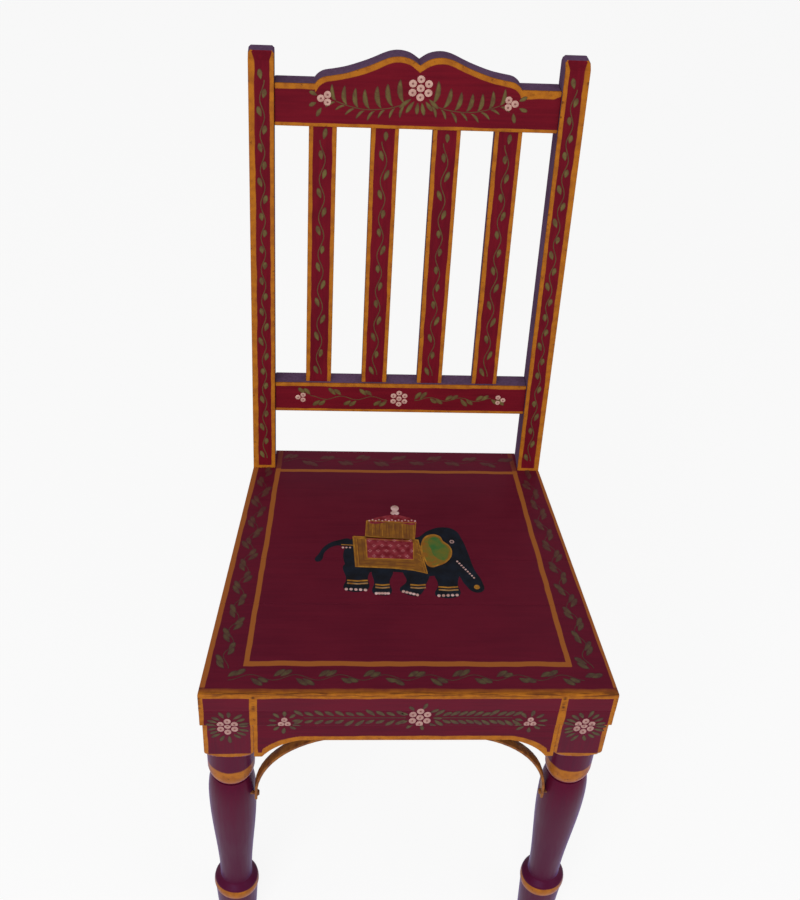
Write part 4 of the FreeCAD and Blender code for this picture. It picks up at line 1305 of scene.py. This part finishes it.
def grown(data, tree, values):
    """Plain mesh that a node tree makes from a path or points."""
    source = bpy.data.objects.new("stroke source", data)
    bpy.context.scene.collection.objects.link(source)
    modifier = source.modifiers.new("strokes", "NODES")
    modifier.node_group = tree
    for socket in tree.interface.items_tree:
        if socket.in_out == "INPUT" and socket.name in values:
            modifier[socket.identifier] = values[socket.name]
    graph = bpy.context.evaluated_depsgraph_get()
    mesh = bpy.data.meshes.new_from_object(source.evaluated_get(graph), depsgraph=graph)
    source.modifiers.clear()
    bpy.data.objects.remove(source)
    return mesh


def path_curve(points):
    """Path for a stem, through flat points."""
    curve = bpy.data.curves.new("stem path", "CURVE")
    curve.dimensions = "3D"
    spline = curve.splines.new("POLY")
    spline.points.add(len(points) - 1)
    for knot, (x, y) in zip(spline.points, points):
        knot.co = (x, y, 0.0, 1.0)
    return curve


def spot_mesh(points):
    """Loose points, at flat places."""
    mesh = bpy.data.meshes.new("flower places")
    mesh.from_pydata([(x, y, 0.0) for x, y in points], [], [])
    return mesh


def leaf_shape(name, bow, breadth):
    """Single brush stroke one unit long: thin where it starts, full and round where it ends."""
    half = ((0.0, 0.0), (0.14, 0.2), (0.32, 0.38), (0.55, 0.5), (0.76, 0.44), (0.92, 0.26), (1.0, 0.0))
    outline = list(half) + [(x, -y) for x, y in half[-2:0:-1]]

    def bent(x, y):
        slope = 2 * bow * x
        length = math.hypot(1.0, slope)
        return x - breadth * y * slope / length, bow * x * x + breadth * y / length

    edge = [bent(x, y) for x, y in outline]
    heart = [bent(0.1 + 0.8 * x, 0.55 * y) for x, y in outline]
    mesh = loft(name, [[(x, y, -0.4) for x, y in edge], [(x, y, 0.45) for x, y in edge],
                       [(x, y, 1.0) for x, y in heart]])
    outward(mesh)
    thick = mesh.attributes.new("thick", "FLOAT", "POINT")
    for vertex in mesh.vertices:
        thick.data[vertex.index].value = 1.0 if vertex.co.z > 0.9 else 0.0
    leaf = bpy.data.objects.new(name, mesh)
    bpy.context.scene.collection.objects.link(leaf)
    leaf.hide_render = True
    return leaf


def gather(name, meshes):
    """One mesh from several, which keep their materials."""
    edit = bmesh.new()
    materials = []
    for mesh in meshes:
        places = []
        for material in mesh.materials:
            if material not in materials:
                materials.append(material)
            places.append(materials.index(material))
        start = len(edit.faces)
        edit.from_mesh(mesh)
        edit.faces.ensure_lookup_table()
        for face in edit.faces[start:]:
            face.material_index = places[min(face.material_index, len(places) - 1)]
        bpy.data.meshes.remove(mesh)
    bmesh.ops.recalc_face_normals(edit, faces=edit.faces)
    joined = bpy.data.meshes.new(name)
    edit.to_mesh(joined)
    edit.free()
    for material in materials:
        joined.materials.append(material)
    return joined


def front_plane():
    """Places flat artwork on the front of the seat, heights from the seat's top."""
    axes = Matrix.Rotation(math.pi / 2, 4, "X")
    return Matrix.Translation((0.0, SEAT_FRONT + front_sizes().paint_room, SEAT_TOP)) @ axes


def seat_plane():
    """Places flat artwork on the seat, distances from its front edge."""
    return Matrix.Translation((0.0, SEAT_FRONT, SEAT_TOP))


def settle_on_front(mesh):
    """Lets strokes on the front fall back where the block and apron lie behind the seat frame."""
    step = front_sizes().front_overhang - front_sizes().paint_room
    ledge = paint_sizes().ledge
    edit = bmesh.new()
    edit.from_mesh(mesh)
    bmesh.ops.triangulate(edit, faces=edit.faces)
    for height in (FRAME_BOTTOM, FRAME_BOTTOM - ledge):
        bmesh.ops.bisect_plane(edit, geom=edit.verts[:] + edit.edges[:] + edit.faces[:],
                               plane_co=(0.0, 0.0, height), plane_no=(0.0, 0.0, 1.0))
    for vertex in edit.verts:
        vertex.co.y += step * min(max((FRAME_BOTTOM - vertex.co.z) / ledge, 0.0), 1.0)
    edit.to_mesh(mesh)
    edit.free()


def wave(start, end, half_waves, swing, first=1):
    """Points of a winding stem between two places, and how many leaves stand at its turns."""
    start = Vector(start)
    run = Vector(end) - start
    aside = Vector((-run.y, run.x)).normalized() * swing * first
    steps = half_waves * 6
    points = [start + run * (step / steps) - aside * math.cos(math.pi * half_waves * step / steps)
              for step in range(steps + 1)]
    return points, half_waves + 1


def vine(points, leaves, leaf, paint, **changes):
    """Painted vine along a path."""
    values = {"Leaf": leaf, "Leaves": leaves, "Strokes": 1, "Stroke Gap": 5 * MM, "Leaf Length": 10 * MM,
              "Leaf Width": 5 * MM, "Lean": 0.3, "Stand Off": 1 * MM, "Side": 0.0, "Stem Width": 0.9 * MM,
              "Relief": paint_sizes().relief, "Seed": 3, "Paint": paint}
    values.update(changes)
    values.setdefault("End Length", values["Leaf Length"])
    values.setdefault("End Lean", values["Lean"])
    return grown(path_curve(points), vine_tree(), values)


def flowers(points, petals, ring, dot, **changes):
    """Dot flowers at flat places."""
    paints = paint_colours()
    values = {"Petals": petals, "Middle": 1, "Ring": ring, "Dot": dot, "Stretch": 1.0, "Turn": math.pi / 2,
              "Heart": 0.48, "Relief": 2 * paint_sizes().relief,
              "Petal Paint": stroke_paint("petal_paint", paints.petal, paints.petal_shade),
              "Heart Paint": stroke_paint("petal_heart_paint", paints.petal_heart, paints.petal_heart)}
    values.update(changes)
    return grown(spot_mesh(points), flower_tree(), values)


def add_artwork(name, meshes, place, settle=None):
    """Adds flat strokes as one painted piece on a surface."""
    mesh = gather(name, meshes)
    mesh.transform(place)
    if settle:
        settle(mesh)
    mesh.shade_smooth()
    mesh.set_sharp_from_angle(angle=STROKE_SHARP)
    return add_piece(name, mesh)


def build_vines():
    """Vines and leaf strokes on the back, the seat's border and the front."""
    paints = paint_colours()
    green = stroke_paint("olive_vine_paint", paints.leaf, paints.leaf_shade, brushed=True)
    # The seat and the front take a darker copy of the leaf paint: painted shade.
    dull = stroke_paint("shaded_olive_vine_paint", paints.low_leaf, paints.low_leaf_shade, brushed=True,
                        darker_towards_back=paints.seat_maroon_shade)
    leaf = leaf_shape("leaf stroke", bow=0.15, breadth=1.0)
    frond = leaf_shape("frond stroke", bow=0.6, breadth=0.27)
    size = back_sizes()
    add_artwork("post_vines", post_vines(leaf, green), back_plane(0.0))
    add_artwork("slat_vines", slat_vines(leaf, green), back_plane(size.rail_setback + size.slat_setback))
    add_artwork("rail_vines", rail_vines(leaf, green) + crest_vines(leaf, frond, green),
                back_plane(size.rail_setback))
    add_artwork("seat_border_vine", border_vines(leaf, dull), seat_plane())
    add_artwork("front_vines", front_vines(leaf, dull), front_plane(), settle_on_front)
    for helper in (leaf, frond):
        bpy.data.objects.remove(helper)


def spray(leaf, paint, centre, radii, strokes, size, turn=0.0, span=None, seed=1):
    """Leaf strokes that radiate from an oval round a flower, or from a part of that oval."""
    steps = 24
    span = span or 2 * math.pi * (1 - 1 / strokes)
    angles = [turn - span / 2 + span * step / steps for step in range(steps + 1)]
    oval = [Vector((centre[0] + radii[0] * math.cos(angle), centre[1] + radii[1] * math.sin(angle)))
            for angle in angles]
    return vine(oval, strokes, leaf, paint, **{
        "Leaf Length": size, "Leaf Width": 4.8 * MM, "Lean": math.pi / 2, "Stand Off": 0.0, "Side": -1.0,
        "Stem Width": 0.0, "Seed": seed})


def post_vines(leaf, green):
    """Winding vines up the two posts."""
    paint = paint_sizes()
    meshes = []
    for side in (-1, 1):
        middle = side * (POST_INNER + POST_OUTER + paint.post_inner_line - paint.post_outer_line) / 2
        points, leaves = wave((middle, 14 * MM), (middle, post_length() - 28 * MM), half_waves=24,
                              swing=2.4 * MM)
        meshes.append(vine(points, leaves, leaf, green, **{
            "Leaf Length": 11 * MM, "Leaf Width": 5.6 * MM, "Lean": 0.2, "Stand Off": 3.4 * MM,
            "Stem Width": 1.1 * MM, "Seed": 5 + side}))
    return meshes


def slat_vines(leaf, green):
    """Winding vines up the slats."""
    size = back_sizes()
    top = post_length() - size.crest_drop
    bottom = size.lower_bottom + size.lower_height
    meshes = []
    for number, node in enumerate(SLATS, 1):
        low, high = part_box(node)
        middle = (low.x + high.x) / 2
        points, leaves = wave((middle, bottom + 10 * MM), (middle, top - 16 * MM), half_waves=13,
                              swing=3 * MM)
        meshes.append(vine(points, leaves, leaf, green, **{
            "Leaf Length": 12 * MM, "Leaf Width": 5.4 * MM, "Lean": 0.2, "Stand Off": 3.8 * MM,
            "Stem Width": 1.1 * MM, "Seed": 10 + number}))
    return meshes


def rail_vines(leaf, green):
    """Two vines with paired strokes that run outwards along the lower rail."""
    size = back_sizes()
    middle = size.lower_bottom + size.lower_height / 2
    meshes = []
    for side in (-1, 1):
        points, leaves = wave((side * 16 * MM, middle), (side * 106 * MM, middle), half_waves=5,
                              swing=2.4 * MM, first=side)
        meshes.append(vine(points, leaves, leaf, green, **{
            "Strokes": 2, "Leaf Length": 12 * MM, "Leaf Width": 5.6 * MM, "Lean": 0.75, "Stand Off": 1.2 * MM,
            "Stroke Gap": 6.5 * MM, "Stem Width": 1 * MM, "Seed": 20 + side}))
    return meshes


def crest_vines(leaf, frond, green):
    """Two arching stems on the crest with curved fronds above, small leaves below and a sprig at each end."""
    arch = ((14, 455), (30, 450), (52, 448), (70, 451), (84, 456))
    droop = 0.35
    meshes = []
    for side in (-1, 1):
        points = smooth_line([Vector((side * x * MM, along * MM)) for x, along in arch], steps=8)
        meshes.append(vine(points, 7, frond, green, **{
            "Leaf Length": 22 * MM, "End Length": 13 * MM, "Leaf Width": 22 * MM, "Lean": 1.15,
            "End Lean": 0.1, "Stand Off": 0.6 * MM, "Side": float(side), "Stem Width": 1 * MM,
            "Seed": 30 + side}))
        meshes.append(vine(points, 8, frond, green, **{
            "Leaf Length": 11 * MM, "End Length": 8 * MM, "Leaf Width": 13 * MM, "Lean": 0.2,
            "End Lean": 0.0, "Stand Off": 1.4 * MM, "Side": float(-side), "Stem Width": 0.0,
            "Seed": 40 + side}))
        outside = math.pi + droop if side < 0 else -droop
        meshes.append(spray(leaf, green, (side * 96 * MM, 457 * MM), (8.5 * MM, 8.5 * MM), strokes=3,
                            size=10 * MM, turn=outside, span=1.8, seed=44 + side))
    meshes.append(spray(leaf, green, CREST_FLOWER, (13 * MM, 15 * MM), strokes=6, size=15 * MM,
                        turn=-math.pi / 2, span=1.5, seed=48))
    return meshes


def border_vines(leaf, green):
    """Winding vine with paired leaves all round the seat's border."""
    paint = paint_sizes()
    paired = {"Strokes": 2, "Leaf Length": 14 * MM, "Leaf Width": 6.6 * MM, "Lean": 0.5,
              "Stand Off": 4.5 * MM, "Stroke Gap": 7 * MM, "Stem Width": 0.9 * MM}
    front_y = (paint.nose_line + paint.frame_front) / 2
    back_y = POST_FRONT - SEAT_FRONT - 18 * MM
    front_x = (half_width(SEAT_FRONT + front_y) - paint.right_side_line + paint.frame_half) / 2
    back_x = (half_width(SEAT_FRONT + back_y) - paint.right_side_line + paint.frame_half_back) / 2
    meshes = []
    points, leaves = wave((-front_x + 4 * MM, front_y), (front_x - 8 * MM, front_y), half_waves=16,
                          swing=3.6 * MM)
    meshes.append(vine(points, leaves, leaf, green, **paired, Seed=50))
    for side in (-1, 1):
        points, leaves = wave((side * front_x, front_y + 12 * MM), (side * back_x, back_y), half_waves=17,
                              swing=4 * MM)
        meshes.append(vine(points, leaves, leaf, green, **paired, Seed=52 + side))
    rear_y = (paint.frame_back + POST_FRONT - SEAT_FRONT + back_sizes().post_depth) / 2
    points, leaves = wave((-POST_INNER + 10 * MM, rear_y), (POST_INNER - 24 * MM, rear_y), half_waves=12,
                          swing=3 * MM)
    meshes.append(vine(points, leaves, leaf, green, **paired, Seed=56))
    return meshes


def front_vines(leaf, green):
    """Straight leafy stems on the apron, and leaf strokes round the flowers of the front."""
    x, height = APRON_FLOWER
    meshes = [spray(leaf, green, APRON_FLOWER, (13 * MM, 14 * MM), strokes=9, size=10 * MM, seed=59)]
    for side in (-1, 1):
        points = [Vector((x + side * 15 * MM, height)), Vector((side * 109 * MM, height))]
        for row in (-1, 1):
            meshes.append(vine(points, 11, leaf, green, **{
                "Leaf Length": 13 * MM, "Leaf Width": 5.6 * MM, "Lean": 0.66, "Stand Off": 3.0 * MM,
                "Side": float(row), "Stem Width": 1.2 * MM if row > 0 else 0.0,
                "Seed": 60 + side + 3 * row}))
        meshes.append(spray(leaf, green, (side * END_FLOWER[0], END_FLOWER[1]), (8 * MM, 10 * MM), strokes=10,
                            size=10 * MM, seed=70 + side))
        meshes.append(spray(leaf, green, (side * BLOCK_FLOWER[0], BLOCK_FLOWER[1]), (11 * MM, 16 * MM),
                            strokes=17, size=12 * MM, seed=80 + side))
    return meshes


def build_flowers():
    """Dot flowers on the rails, the apron and the leg blocks."""
    size = back_sizes()
    middle = size.lower_bottom + size.lower_height / 2
    rails = [
        flowers([CREST_FLOWER], petals=6, ring=9.4 * MM, dot=4.1 * MM),
        flowers([(-2.3 * MM, middle)], petals=6, ring=7.6 * MM, dot=3.3 * MM),
    ]
    for side, turn in ((-1, math.pi), (1, 0.0)):
        rails.append(flowers([(side * 95 * MM, 458.5 * MM)], petals=3, ring=4.6 * MM, dot=3.9 * MM, Middle=0,
                             Turn=turn))
        rails.append(flowers([(side * 116.5 * MM, middle)], petals=3, ring=4.0 * MM, dot=3.1 * MM, Middle=0,
                             Turn=turn))
    add_artwork("rail_flowers", rails, back_plane(size.rail_setback))
    paints = paint_colours()
    # The front's flowers take a darker copy of the petal paint: painted shade.
    dull = stroke_paint("shaded_petal_paint", paints.front_petal, paints.front_petal_shade)
    low = {"Relief": paint_sizes().relief, "Stretch": 1.2, "Petal Paint": dull}
    blocks = [(side * BLOCK_FLOWER[0], BLOCK_FLOWER[1]) for side in (-1, 1)]
    ends = [(side * END_FLOWER[0], END_FLOWER[1]) for side in (-1, 1)]
    fronts = [
        flowers([APRON_FLOWER], petals=6, ring=8.8 * MM, dot=3.9 * MM, **low),
        flowers(blocks, petals=6, ring=8.4 * MM, dot=3.7 * MM, **low),
        flowers(ends, petals=3, ring=4.0 * MM, dot=3.3 * MM, Middle=0, **low),
    ]
    add_artwork("front_flowers", fronts, front_plane(), settle_on_front)


# Outlines of the cloth on the elephant's back, its panel and the howdah, in millimetres
CLOTH = [(-55, 227), (-53, 180), (-10, 178), (13, 175), (27, 170), (19, 222)]
PANEL = [(-41, 226), (14, 222), (12.5, 191), (-40, 193)]
HOWDAH = [(-39, 253), (18, 250), (15, 222), (-41, 228)]


def flat_shape(points, height, paint, sharp=False):
    """Patch of paint with a smooth outline, or a sharp-cornered one."""
    curve = bpy.data.curves.new("patch", "CURVE")
    curve.dimensions = "2D"
    curve.fill_mode = "BOTH"
    curve.extrude = height * MM
    curve.resolution_u = 6
    spline = curve.splines.new("BEZIER")
    spline.bezier_points.add(len(points) - 1)
    spline.use_cyclic_u = True
    for knot, (x, y) in zip(spline.bezier_points, points):
        knot.co = (x * MM, y * MM, 0.0)
        knot.handle_left_type = "VECTOR" if sharp else "AUTO"
        knot.handle_right_type = "VECTOR" if sharp else "AUTO"
    patch = bpy.data.objects.new("patch", curve)
    bpy.context.scene.collection.objects.link(patch)
    graph = bpy.context.evaluated_depsgraph_get()
    mesh = bpy.data.meshes.new_from_object(patch.evaluated_get(graph), depsgraph=graph)
    bpy.data.objects.remove(patch)
    outward(mesh)
    mesh.materials.clear()
    mesh.materials.append(paint)
    return mesh


def brush_line(points, width, height, paint):
    """Single line of paint along flat points in millimetres."""
    path = [Vector(point) * MM for point in points]
    values = {"Leaves": 0, "Strokes": 1, "Stem Width": width * MM, "Relief": 2 * height * MM, "Paint": paint}
    return grown(path_curve(path), vine_tree(), values)


def beads(points, dot, paint, height):
    """Row of small dots of one paint at flat places in millimetres."""
    return flowers([Vector(point) * MM for point in points], petals=1, ring=0.0, dot=dot * MM, Middle=0,
                   Heart=0.2, Relief=height * MM, **{"Petal Paint": paint, "Heart Paint": paint})


def shrunk(points, share):
    """Outline drawn in towards its middle."""
    middle = sum((Vector(point) for point in points), Vector((0.0, 0.0))) / len(points)
    return [middle.lerp(Vector(point), share)[:] for point in points]


def elephant_body(hide, gold, line, red, olive, green):
    """Patches of the elephant, its cloth and its howdah, each layer a little higher than the last."""
    torso = [(-57, 223), (-65, 208), (-66, 188), (-58, 172), (-26, 173), (2, 171), (30, 166), (56, 172),
             (62, 167), (68, 154), (79, 142), (88, 145), (88, 156), (80, 178), (75, 203), (70, 223),
             (62, 239), (47, 243), (31, 237), (18, 226), (-20, 228)]
    legs = [[(-65, 184), (-64, 160), (-67, 147), (-64, 144), (-43, 144), (-39, 148), (-40, 162), (-38, 180)],
            [(-33, 176), (-33, 155), (-35, 141), (-30, 138), (-17, 138), (-14, 142), (-16, 156), (-13, 176)],
            [(1, 176), (3, 158), (-5, 145), (-1, 141), (13, 136), (17, 138), (24, 152), (27, 174)],
            [(36, 176), (38, 152), (34, 138), (38, 135), (59, 136), (62, 140), (60, 152), (60, 178)]]
    tail = [(-58, 222), (-72, 221), (-86, 213), (-94, 200), (-98, 188), (-93, 188), (-87, 203), (-76, 212),
            (-60, 213)]
    roof = [(-37, 252), (-30, 257), (-18, 261), (-7, 263), (4, 261), (13, 257), (19, 250), (-8, 252)]
    ear = [(24, 222), (33, 231), (44, 229), (48, 221), (55, 213), (57, 202), (51, 189), (40, 182), (31, 180),
           (25, 190)]
    ear_heart = [(32, 224), (42, 226), (46, 218), (52, 210), (53, 201), (47, 191), (38, 195), (33, 208)]
    meshes = [flat_shape(leg, 0.10, hide) for leg in legs]
    meshes += [flat_shape(tail, 0.11, hide), flat_shape(torso, 0.13, hide)]
    meshes += [flat_shape(CLOTH, 0.17, gold, sharp=True), flat_shape(HOWDAH, 0.17, gold, sharp=True)]
    meshes += [flat_shape(PANEL, 0.20, red, sharp=True), flat_shape(roof, 0.20, red)]
    meshes += [flat_shape(ear, 0.17, line), flat_shape(shrunk(ear, 0.9), 0.19, olive),
               flat_shape(ear_heart, 0.21, green)]
    return meshes


def cloth_lines(line, fold):
    """Gold borders of the cloth and its panel, and the ribs of the howdah."""
    meshes = []
    for outline, width in ((CLOTH, 1.8), (shrunk(CLOTH, 0.92), 0.9), (PANEL, 1.6), (HOWDAH, 1.3)):
        meshes.append(brush_line(list(outline) + list(outline[:1]), width, 0.22, line))
    for inset in (4.5, 9.5):
        meshes.append(brush_line([(-55 + inset, 224), (-53 + inset, 180 + inset), (-10, 178 + inset),
                                  (13, 176 + inset)], 1.0, 0.2, fold))
    for stripe in range(5):
        meshes.append(brush_line([(15 + stripe * 0.8, 219 - 9 * stripe), (20.5 + stripe, 214 - 9 * stripe)],
                                 0.9, 0.22, line))
    for rib in range(14):
        x = -37 + rib * 3.9
        lean = 1.5 * (rib % 2)
        meshes.append(brush_line([(x, 230 - 0.12 * (x + 41)), (x + lean, 250 - 0.06 * (x + 41))], 0.9, 0.2,
                                 line if rib % 3 == 1 else fold))
    return meshes


def build_elephant():
    """Caparisoned elephant in the middle of the seat, laid on in layers of paint."""
    paints = paint_colours()
    hide = stroke_paint("blue_black_paint", paints.hide, paints.hide_shade, 12 * MM)
    gold = stroke_paint("gold_ochre_paint", paints.gold, paints.gold_shade, 10 * MM)
    fold = stroke_paint("gold_shade_paint", paints.gold_shade, paints.strap_shade)
    line = stroke_paint("gold_line_paint", paints.gold_line, paints.gold)
    sand = stroke_paint("sand_paint", paints.sand, paints.gold)
    red = stroke_paint("crimson_paint", paints.panel, paints.maroon)
    pale = stroke_paint("pale_pink_paint", paints.bead, paints.petal_shade)
    rose = stroke_paint("rose_paint", paints.floret, paints.panel)
    olive = stroke_paint("olive_ear_paint", paints.olive, paints.gold)
    green = stroke_paint("leaf_green_paint", paints.ear, paints.olive, 14 * MM)
    meshes = elephant_body(hide, gold, line, red, olive, green) + cloth_lines(line, fold)

    florets = [(-36.5 + 9.4 * column + 4.7 * (row % 2), 221 - 8.2 * row)
               for row in range(4) for column in range(6 - row % 2)]
    meshes.append(flowers([Vector(point) * MM for point in florets], petals=4, ring=1.5 * MM, dot=1.2 * MM,
                          Middle=0, Heart=0.2, Relief=0.26 * MM,
                          **{"Petal Paint": rose, "Heart Paint": rose}))
    fringe = [(-36 + 3.8 * k, 253 + 1.4 * (k % 2)) for k in range(15)]
    meshes += [
        beads(fringe, 1.5, pale, 0.3),
        beads([(-8, 266), (-3.5, 266), (-6, 269)], 2.8, pale, 0.28),
        beads([(-5.5, 274)], 4.8, pale, 0.3),
        brush_line([(-69, 214), (-55, 213)], 1.2, 0.2, line),
        beads([(-67, 209.5), (-63, 209.5), (-59, 209.5)], 1.4, pale, 0.3),
    ]

    for left, right, y in ((-63, -40, 159), (-32, -16, 153), (7, 24, 153), (38, 60, 150)):
        for lower, paint in ((0.0, line), (4.2, sand)):
            band = y - lower
            meshes.append(brush_line([(left, band), ((left + right) / 2, band - 1), (right, band)], 2.0, 0.2,
                                     paint))
    for left, right, y, fall in ((-64, -43, 146, 1), (-31, -18, 140, 0), (-1, 14, 143, 5), (38, 58, 137, -1)):
        toes = [(left + (right - left) * k / 4, y - fall * k / 4) for k in range(5)]
        meshes.append(beads(toes, 2.1, pale, 0.3))
    trunk = [(62 + 17 * k / 8, 189 - 25 * k / 8) for k in range(9)]
    meshes += [
        beads([(81, 150)], 4.3, line, 0.22),
        beads([(58, 220)], 3.7, pale, 0.2),
        beads([(58, 220)], 2.1, hide, 0.32),
        beads([(58.3, 220.6)], 0.8, pale, 0.4),
        beads(trunk, 1.4, pale, 0.26),
    ]
    add_artwork("seat_elephant", meshes, seat_plane())


# Stage
CAMERA_PLACE = Vector((-0.1084, -1.07696, 1.5735))
CAMERA_RIGHT = Vector((0.99758, -0.04241, 0.05504))
CAMERA_FORWARD = Vector((0.0683, 0.74431, -0.66433))
LAMPS = (("key", (-0.9, -2.8, 2.1), 1.0), ("fill", (2.4, -2.0, 1.5), 0.25))    # place, share of the power
LAMP_SIZE = 2.0
LAMP_AIM = Vector((0.0, 0.0, 0.5))
FLOOR_REACH = 8.0
FLOOR_WHITE = 0.88      # share of plain white on the floor that the camera sees; the rest keeps the shadow
WHITE = (1.0, 1.0, 1.0, 1.0)


def build_camera():
    """Camera at the height of someone standing in front of the chair."""
    data = bpy.data.cameras.new("camera")
    data.sensor_width = 36.0
    data.lens = bpy.context.scene.chair_stage.lens
    camera = bpy.data.objects.new("camera", data)
    bpy.context.scene.collection.objects.link(camera)
    up = CAMERA_RIGHT.cross(CAMERA_FORWARD)
    turn = Matrix((CAMERA_RIGHT, up, -CAMERA_FORWARD)).transposed().to_4x4()
    camera.matrix_world = Matrix.Translation(CAMERA_PLACE) @ turn
    bpy.context.scene.camera = camera


def white_rays(tree):
    """1 for rays that show the background: those of the camera, of reflections and of glass."""
    path = add_node(tree, "ShaderNodeLightPath").outputs
    seen = path["Is Camera Ray"]
    for kind in ("Is Glossy Ray", "Is Transmission Ray"):
        seen = add_node(tree, MATH, {0: seen, 1: path[kind]}, operation="MAXIMUM")
    return seen


def floor_paint():
    """Pale studio floor: white to the camera, with the chair's shadow left faintly on it."""
    material, tree, shader = new_material("pale_floor", roughness=0.9)
    shader.inputs["Base Color"].default_value = rgba(bpy.context.scene.chair_stage.floor)
    glow = add_node(tree, "ShaderNodeEmission", {"Color": WHITE, "Strength": 1.0})
    shaded = add_node(tree, "ShaderNodeBsdfDiffuse", {"Color": WHITE})
    shown = add_node(tree, "ShaderNodeMixShader", {0: FLOOR_WHITE, 1: shaded, 2: glow})
    mixed = add_node(tree, "ShaderNodeMixShader", {0: white_rays(tree), 1: shader, 2: shown})
    output = next(node for node in tree.nodes if node.type == "OUTPUT_MATERIAL")
    set_inputs(tree, output, {"Surface": mixed})
    return material


def build_stage():
    """Pale floor, soft light and the camera."""
    scene = bpy.context.scene
    stage = scene.chair_stage
    mesh = bpy.data.meshes.new("floor")
    corners = four_corners(-FLOOR_REACH, FLOOR_REACH, -FLOOR_REACH, FLOOR_REACH)
    mesh.from_pydata([(x, y, 0.0) for x, y in corners], [], [(0, 1, 2, 3)])
    mesh.materials.append(floor_paint())
    floor = bpy.data.objects.new("floor", mesh)
    scene.collection.objects.link(floor)

    for name, place, share in LAMPS:
        lamp = bpy.data.lights.new(name, "AREA")
        lamp.energy = stage.key * share
        lamp.size = LAMP_SIZE
        light = bpy.data.objects.new(name, lamp)
        scene.collection.objects.link(light)
        light.location = place
        aim = LAMP_AIM - light.location
        light.rotation_euler = aim.to_track_quat("-Z", "Y").to_euler()

    world = bpy.data.worlds.new("studio")
    scene.world = world
    world.use_nodes = True
    tree = world.node_tree
    tree.nodes.clear()
    strength = add_node(tree, RANGE, {0: white_rays(tree), 3: stage.fill, 4: 1.0})
    sky = add_node(tree, "ShaderNodeBackground", {"Color": WHITE, "Strength": strength})
    add_node(tree, "ShaderNodeOutputWorld", {"Surface": sky})
    scene.view_settings.view_transform = "Standard"
    build_camera()


# Add-on
class CHAIR_OT_back(bpy.types.Operator):
    """Builds the posts, rails and slats"""
    bl_idname = "chair.back"
    bl_label = "Back"

    def execute(self, context):
        build_back()
        return {"FINISHED"}


class CHAIR_OT_seat(bpy.types.Operator):
    """Builds the seat boards and their frame"""
    bl_idname = "chair.seat"
    bl_label = "Seat"

    def execute(self, context):
        build_seat()
        return {"FINISHED"}


class CHAIR_OT_front(bpy.types.Operator):
    """Builds the turned front legs and the aprons"""
    bl_idname = "chair.front"
    bl_label = "Legs and Aprons"

    def execute(self, context):
        build_front()
        return {"FINISHED"}


class CHAIR_OT_iron(bpy.types.Operator):
    """Builds the iron straps and finishes the nails and pegs"""
    bl_idname = "chair.iron"
    bl_label = "Straps, Nails and Pegs"

    def execute(self, context):
        build_iron()
        return {"FINISHED"}


class CHAIR_OT_vines(bpy.types.Operator):
    """Paints the vines and leaves"""
    bl_idname = "chair.vines"
    bl_label = "Vines"

    def execute(self, context):
        build_vines()
        return {"FINISHED"}


class CHAIR_OT_flowers(bpy.types.Operator):
    """Paints the dot flowers"""
    bl_idname = "chair.flowers"
    bl_label = "Flowers"

    def execute(self, context):
        build_flowers()
        return {"FINISHED"}


class CHAIR_OT_elephant(bpy.types.Operator):
    """Paints the elephant on the seat"""
    bl_idname = "chair.elephant"
    bl_label = "Elephant"

    def execute(self, context):
        build_elephant()
        return {"FINISHED"}


class CHAIR_OT_stage(bpy.types.Operator):
    """Adds the floor, the light and the camera"""
    bl_idname = "chair.stage"
    bl_label = "Stage"

    def execute(self, context):
        build_stage()
        return {"FINISHED"}


class CHAIR_PT_panel(bpy.types.Panel):
    """Lists the chair's operators"""
    bl_idname = "CHAIR_PT_panel"
    bl_label = "Painted Chair"
    bl_space_type = "VIEW_3D"
    bl_region_type = "UI"
    bl_category = "Chair"

    def draw(self, context):
        for operator in OPERATORS:
            self.layout.operator(operator.bl_idname)


OPERATORS = (CHAIR_OT_back, CHAIR_OT_seat, CHAIR_OT_front, CHAIR_OT_iron, CHAIR_OT_vines, CHAIR_OT_flowers,
             CHAIR_OT_elephant, CHAIR_OT_stage)
GROUPS = (("chair_back", BackSizes), ("chair_front", FrontSizes), ("chair_iron", IronSizes),
          ("chair_paint", PaintSizes), ("chair_colours", PaintColours), ("chair_stage", StageSizes))


def register():
    """Adds the classes and the scene's settings."""
    for name, group in GROUPS:
        bpy.utils.register_class(group)
        setattr(bpy.types.Scene, name, bpy.props.PointerProperty(type=group))
    for operator in OPERATORS:
        bpy.utils.register_class(operator)
    bpy.utils.register_class(CHAIR_PT_panel)


def unregister():
    """Takes them away again."""
    bpy.utils.unregister_class(CHAIR_PT_panel)
    for operator in OPERATORS:
        bpy.utils.unregister_class(operator)
    for name, group in GROUPS:
        delattr(bpy.types.Scene, name)
        bpy.utils.unregister_class(group)


def main():
    """Builds the chair, piece by piece."""
    register()
    bpy.ops.chair.back()
    bpy.ops.chair.seat()
    bpy.ops.chair.front()
    bpy.ops.chair.iron()
    bpy.ops.chair.vines()
    bpy.ops.chair.flowers()
    bpy.ops.chair.elephant()
    bpy.ops.chair.stage()


if __name__ == "__main__":
    main()
